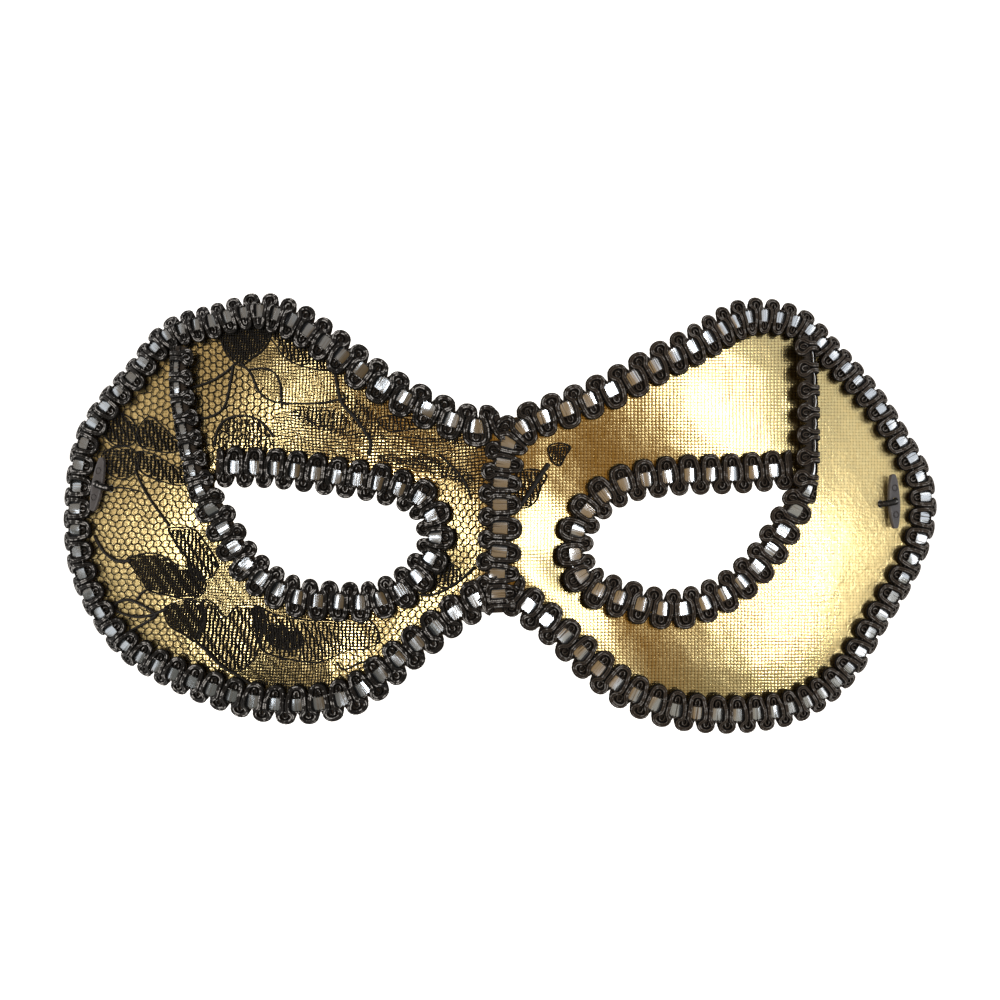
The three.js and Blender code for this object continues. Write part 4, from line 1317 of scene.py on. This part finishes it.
class BraidSettings(bpy.types.PropertyGroup):
    cord_diameter: FloatProperty(
        name="Cord", description="Diameter of each of the two cords, mm", default=0.7)
    loop_radius: FloatProperty(
        name="Loop radius", description="Middle of the doubled cord in a loop, mm", default=1.46)
    neck_rise: FloatProperty(
        name="Neck rise", description="How far the necks arch over the foil, mm", default=0.62)
    foil_width: FloatProperty(name="Foil width", description="Width of the silver strip, mm", default=2.7)
    foil_rise: FloatProperty(
        name="Foil rise", description="How far the foil bulges in a window, mm", default=0.3)
    binding_diameter: FloatProperty(
        name="Binding", description="Diameter of the binding threads, mm", default=0.46)
    binding_twist: FloatProperty(
        name="Twist", description="Length of a twist of the binding threads, mm", default=0.62)
    # The cord's own black, also its painted shade down the sides; the lit top below is the painted lit crest
    # colour, which the ribbon's rib tops take too
    cord_dark: FloatVectorProperty(
        name="Dark cord", description="Darkest cord colour", subtype="COLOR", default=(0.002, 0.0018, 0.0016))
    cord_lit_top: FloatVectorProperty(
        name="Light cord", description="Lightest cord colour", subtype="COLOR", default=(0.05, 0.037, 0.026))


class StudioSettings(bpy.types.PropertyGroup):
    right_light: FloatProperty(
        name="Right light", description="Power of the plain half's soft boxes", unit="POWER", default=3.6)
    left_light: FloatProperty(
        name="Left light", description="Power of the lace half's soft boxes", unit="POWER", default=3.1)
    sky_right: FloatVectorProperty(
        name="Right horizon", description="Light from the right of the room", subtype="COLOR",
        default=(0.56, 0.57, 0.59))
    sky_left: FloatVectorProperty(
        name="Left horizon", description="Light from the left of the room", subtype="COLOR",
        default=(0.44, 0.36, 0.28))
    sky_front: FloatVectorProperty(
        name="Front of the room", description="Light from beyond the cheeks", subtype="COLOR",
        default=(0.25, 0.225, 0.18))
    sky_high: FloatVectorProperty(
        name="Ceiling", description="Light from straight above", subtype="COLOR", default=(0.22, 0.12, 0.03))
    floor_glow: FloatProperty(
        name="Floor glow", description="Light that the pale floor gives itself", default=0.8)


# The studio, in metres; the floor in millimetres
CAMERA_PLACE = (0.0001, 0.0025, 3.025)
LENS = 540
SENSOR = 36
FLOOR_HALF = 1500
# Where the room's light changes: over these runs of a direction's X, Y and Z
SIDE_RUN = (-0.6, 0.6)
FRONT_RUN = (-0.4, -0.12)
CEILING_RUN = (0.62, 0.88)
# Soft boxes: share of their side's power, direction from the mask, direction of the longer side, and width
# and length. On each side the first is the main one.
LIGHT_DISTANCE = 1.1
SOFT_BOXES = [
    (1.0, (-0.74, -0.03, 0.66), (-0.3, -0.62, -0.42), (0.12, 0.9)),
    (0.62, (-0.38, -0.25, 0.88), (0, 1, 0.2), (0.12, 0.2)),
    (0.1, (-0.6, 0.37, 0.7), (1, 0, 0.6), (0.08, 0.12)),
    (0.5, (0.64, 0.13, 0.75), (0.25, -0.3, -0.17), (0.11, 0.5)),
    (0.25, (0.69, 0.34, 0.64), (1, 0, -1.2), (0.16, 0.2)),
    (0.38, (0.84, -0.19, 0.51), (0.15, -0.3, -0.33), (0.05, 0.4)),
]


# Operators

class MASK_OT_stage(bpy.types.Operator):
    """Pale floor, soft boxes at both sides, a pale room and the camera straight above the mask"""

    bl_idname = "mask.stage"
    bl_label = "Stage"

    def execute(self, context):
        scene = context.scene
        studio = scene.mask_studio
        self.camera(scene)
        self.floor(studio)
        for share, middle, along, size in SOFT_BOXES:
            power = studio.right_light if middle[0] > 0 else studio.left_light
            self.soft_box(middle, along, size, power * share)
        self.room(scene, studio)
        scene.view_settings.view_transform = "Standard"
        return {"FINISHED"}

    def camera(self, scene):
        camera = bpy.data.cameras.new("view")
        camera.lens = LENS
        camera.sensor_width = SENSOR
        holder = bpy.data.objects.new("view", camera)
        holder.location = CAMERA_PLACE
        scene.collection.objects.link(holder)
        scene.camera = holder

    def floor(self, studio):
        half = FLOOR_HALF
        corners = np.array([(-half, -half, 0), (half, -half, 0), (half, half, 0), (-half, half, 0)], float)
        quads = np.array([[0, 1, 2, 3]])
        skin = Skin()
        skin.add(corners, quads, corners[quads][..., :2] * MM)
        floor = make_piece("floor", skin)
        f = Finish("pale_floor")
        colour = f.mix(f.noise(400, 2), grey(0.82), grey(0.86))
        finish = f.surface(Base_Color=colour, Roughness=0.9, Emission_Color=grey(1),
                           Emission_Strength=studio.floor_glow)
        floor.data.materials.append(finish)

    def soft_box(self, towards, along, size, power):
        """A soft box in the given direction from the mask and aimed at it, its longer side along the line."""
        light = bpy.data.lights.new("soft_box", "AREA")
        light.shape = "RECTANGLE"
        light.size, light.size_y = size
        light.energy = power
        holder = bpy.data.objects.new("soft_box", light)
        away = Vector(towards).normalized()
        across = Vector(along).cross(away).normalized()
        turn = Matrix((across, away.cross(across), away)).transposed().to_4x4()
        holder.matrix_world = Matrix.Translation(away * LIGHT_DISTANCE) @ turn
        bpy.context.scene.collection.objects.link(holder)

    def room(self, scene, studio):
        """The room's light by direction: from left to right, then from the front, then from the ceiling."""
        f = Finish("room", bpy.data.worlds)
        x, y, z = f.parts(f.place("Generated"))
        sides = f.mix(x.step(*SIDE_RUN, "LINEAR"), rgba(studio.sky_left), rgba(studio.sky_right))
        low = f.mix(y.step(*FRONT_RUN, "LINEAR"), rgba(studio.sky_front), sides)
        whole = f.mix(z.step(*CEILING_RUN, "LINEAR"), low, rgba(studio.sky_high))
        light = f.node("ShaderNodeBackground", None, {"Color": whole})
        f.node("ShaderNodeOutputWorld", None, {"Surface": light})
        scene.world = f.owner


class MASK_OT_elastic(bpy.types.Operator):
    """Elastic behind the mask and its two ends over the toggles"""

    bl_idname = "mask.elastic"
    bl_label = "Elastic"

    def execute(self, context):
        # Dark and light ends of the elastic's colour: cord_finish paints the light one on the crest as a lit
        # top, with painted shade down the sides
        colours = ((0.006, 0.006, 0.006), (0.03, 0.028, 0.028))
        finish = cord_finish("covered_elastic", colours, ELASTIC_TWIST, 0.4)
        for side, (middle, _, hole) in TOGGLES.items():
            skin, _ = round_cord(loop_path(middle, hole), ELASTIC_DIAMETER, 40)
            piece = make_piece(side + "_elastic_end", skin)
            finish_piece(piece, finish, side + "_elastic_loop")
        skin, path = round_cord(elastic_path(), ELASTIC_DIAMETER, 300)
        cord = finish_piece(make_piece("elastic", skin), finish, "elastic_cord")
        path = path * MM
        return {"FINISHED"}


class MASK_OT_toggles(bpy.types.Operator):
    """The two pointed toggles, each with its hole and two ring grooves"""

    bl_idname = "mask.toggles"
    bl_label = "Toggles"

    def execute(self, context):
        finish = toggle_finish()
        for side, (middle, lean, _) in TOGGLES.items():
            skin, *place = toggle_bar(middle, lean)
            bar = cut_away(make_piece(side + "_toggle_bar", skin), toggle_cutters(*place), 40)
            finish_piece(bar, finish, side + "_toggle")
        return {"FINISHED"}


class MASK_OT_shell(bpy.types.Operator):
    """Moulded shell, seen from behind and round its edge"""

    bl_idname = "mask.shell"
    bl_label = "Shell"

    def execute(self, context):
        piece = drill_holes(make_piece("moulded_shell", face_layer(*SHELL)))
        finish_piece(piece, shell_finish(), "mask_shell")
        return {"FINISHED"}


class MASK_OT_gold_cloth(bpy.types.Operator):
    """Gold metallic cloth stretched over the shell"""

    bl_idname = "mask.gold_cloth"
    bl_label = "Gold cloth"

    def execute(self, context):
        piece = drill_holes(make_piece("gold_face_cloth", face_layer(*CLOTH)))
        finish_piece(piece, gold_finish(context.scene.mask_gold), "gold_cloth")
        return {"FINISHED"}


class MASK_OT_lace(bpy.types.Operator):
    """Black floral lace over the left half"""

    bl_idname = "mask.lace"
    bl_label = "Lace"

    def execute(self, context):
        piece = make_piece("floral_lace", lace_cloth(context.scene.mask_lace))
        finish_piece(piece, thread_finish(), "lace_cloth")
        return {"FINISHED"}


class MASK_OT_braids(bpy.types.Operator):
    """Looped gimp braid over silver foil, round every edge and down the nose"""

    bl_idname = "mask.braids"
    bl_label = "Gimp braid"

    def execute(self, context):
        braid = context.scene.mask_braid
        colours = (braid.cord_dark, braid.cord_lit_top)
        cord = cord_finish("gimp_cord", colours, CORD_TWIST, 0.26)
        binding = cord_finish("binding_thread", colours, braid.binding_twist, 0.3)
        ribbon = ribbon_finish(colours)
        foil = foil_finish()
        for node, facts in BRAIDS.items():
            line = BraidLine(**facts)
            for part, skin, finish, slot in (
                ("cords", braid_cords(line, braid), cord, "braid"),
                ("binding", binding_threads(line, braid), binding, "braid"),
                ("ribbon", backing_ribbon(line), ribbon, "braid"),
                ("foil", foil_strip(line, braid), foil, "foil"),
            ):
                piece = make_piece(node + "_" + part, skin)
                if part in ("ribbon", "foil"):
                    piece.data.set_sharp_from_angle(angle=math.radians(40))
                finish_piece(piece, finish, node)
        return {"FINISHED"}


class MASK_PT_panel(bpy.types.Panel):
    """Lists the steps that build the mask and its settings"""

    bl_idname = "MASK_PT_panel"
    bl_label = "Masquerade eye mask"
    bl_space_type = "VIEW_3D"
    bl_region_type = "UI"
    bl_category = "Mask"

    def draw(self, context):
        for step in STEPS:
            self.layout.operator(step.bl_idname)
        for name in GROUPS:
            group = getattr(context.scene, name)
            box = self.layout.box()
            for key in group.__annotations__:
                box.prop(group, key)


STEPS = (MASK_OT_stage, MASK_OT_toggles, MASK_OT_elastic, MASK_OT_shell, MASK_OT_gold_cloth, MASK_OT_lace,
         MASK_OT_braids)
GROUPS = {"mask_gold": GoldSettings, "mask_lace": LaceSettings, "mask_braid": BraidSettings,
          "mask_studio": StudioSettings}


def register():
    for item in (*GROUPS.values(), *STEPS, MASK_PT_panel):
        bpy.utils.register_class(item)
    for name, group in GROUPS.items():
        setattr(bpy.types.Scene, name, PointerProperty(type=group))


def unregister():
    for name in GROUPS:
        delattr(bpy.types.Scene, name)
    for item in reversed((*GROUPS.values(), *STEPS, MASK_PT_panel)):
        bpy.utils.unregister_class(item)


def main():
    """Builds every piece in order."""
    register()
    for step in STEPS:
        group, name = step.bl_idname.split(".")
        getattr(getattr(bpy.ops, group), name)()


if __name__ == "__main__":
    main()
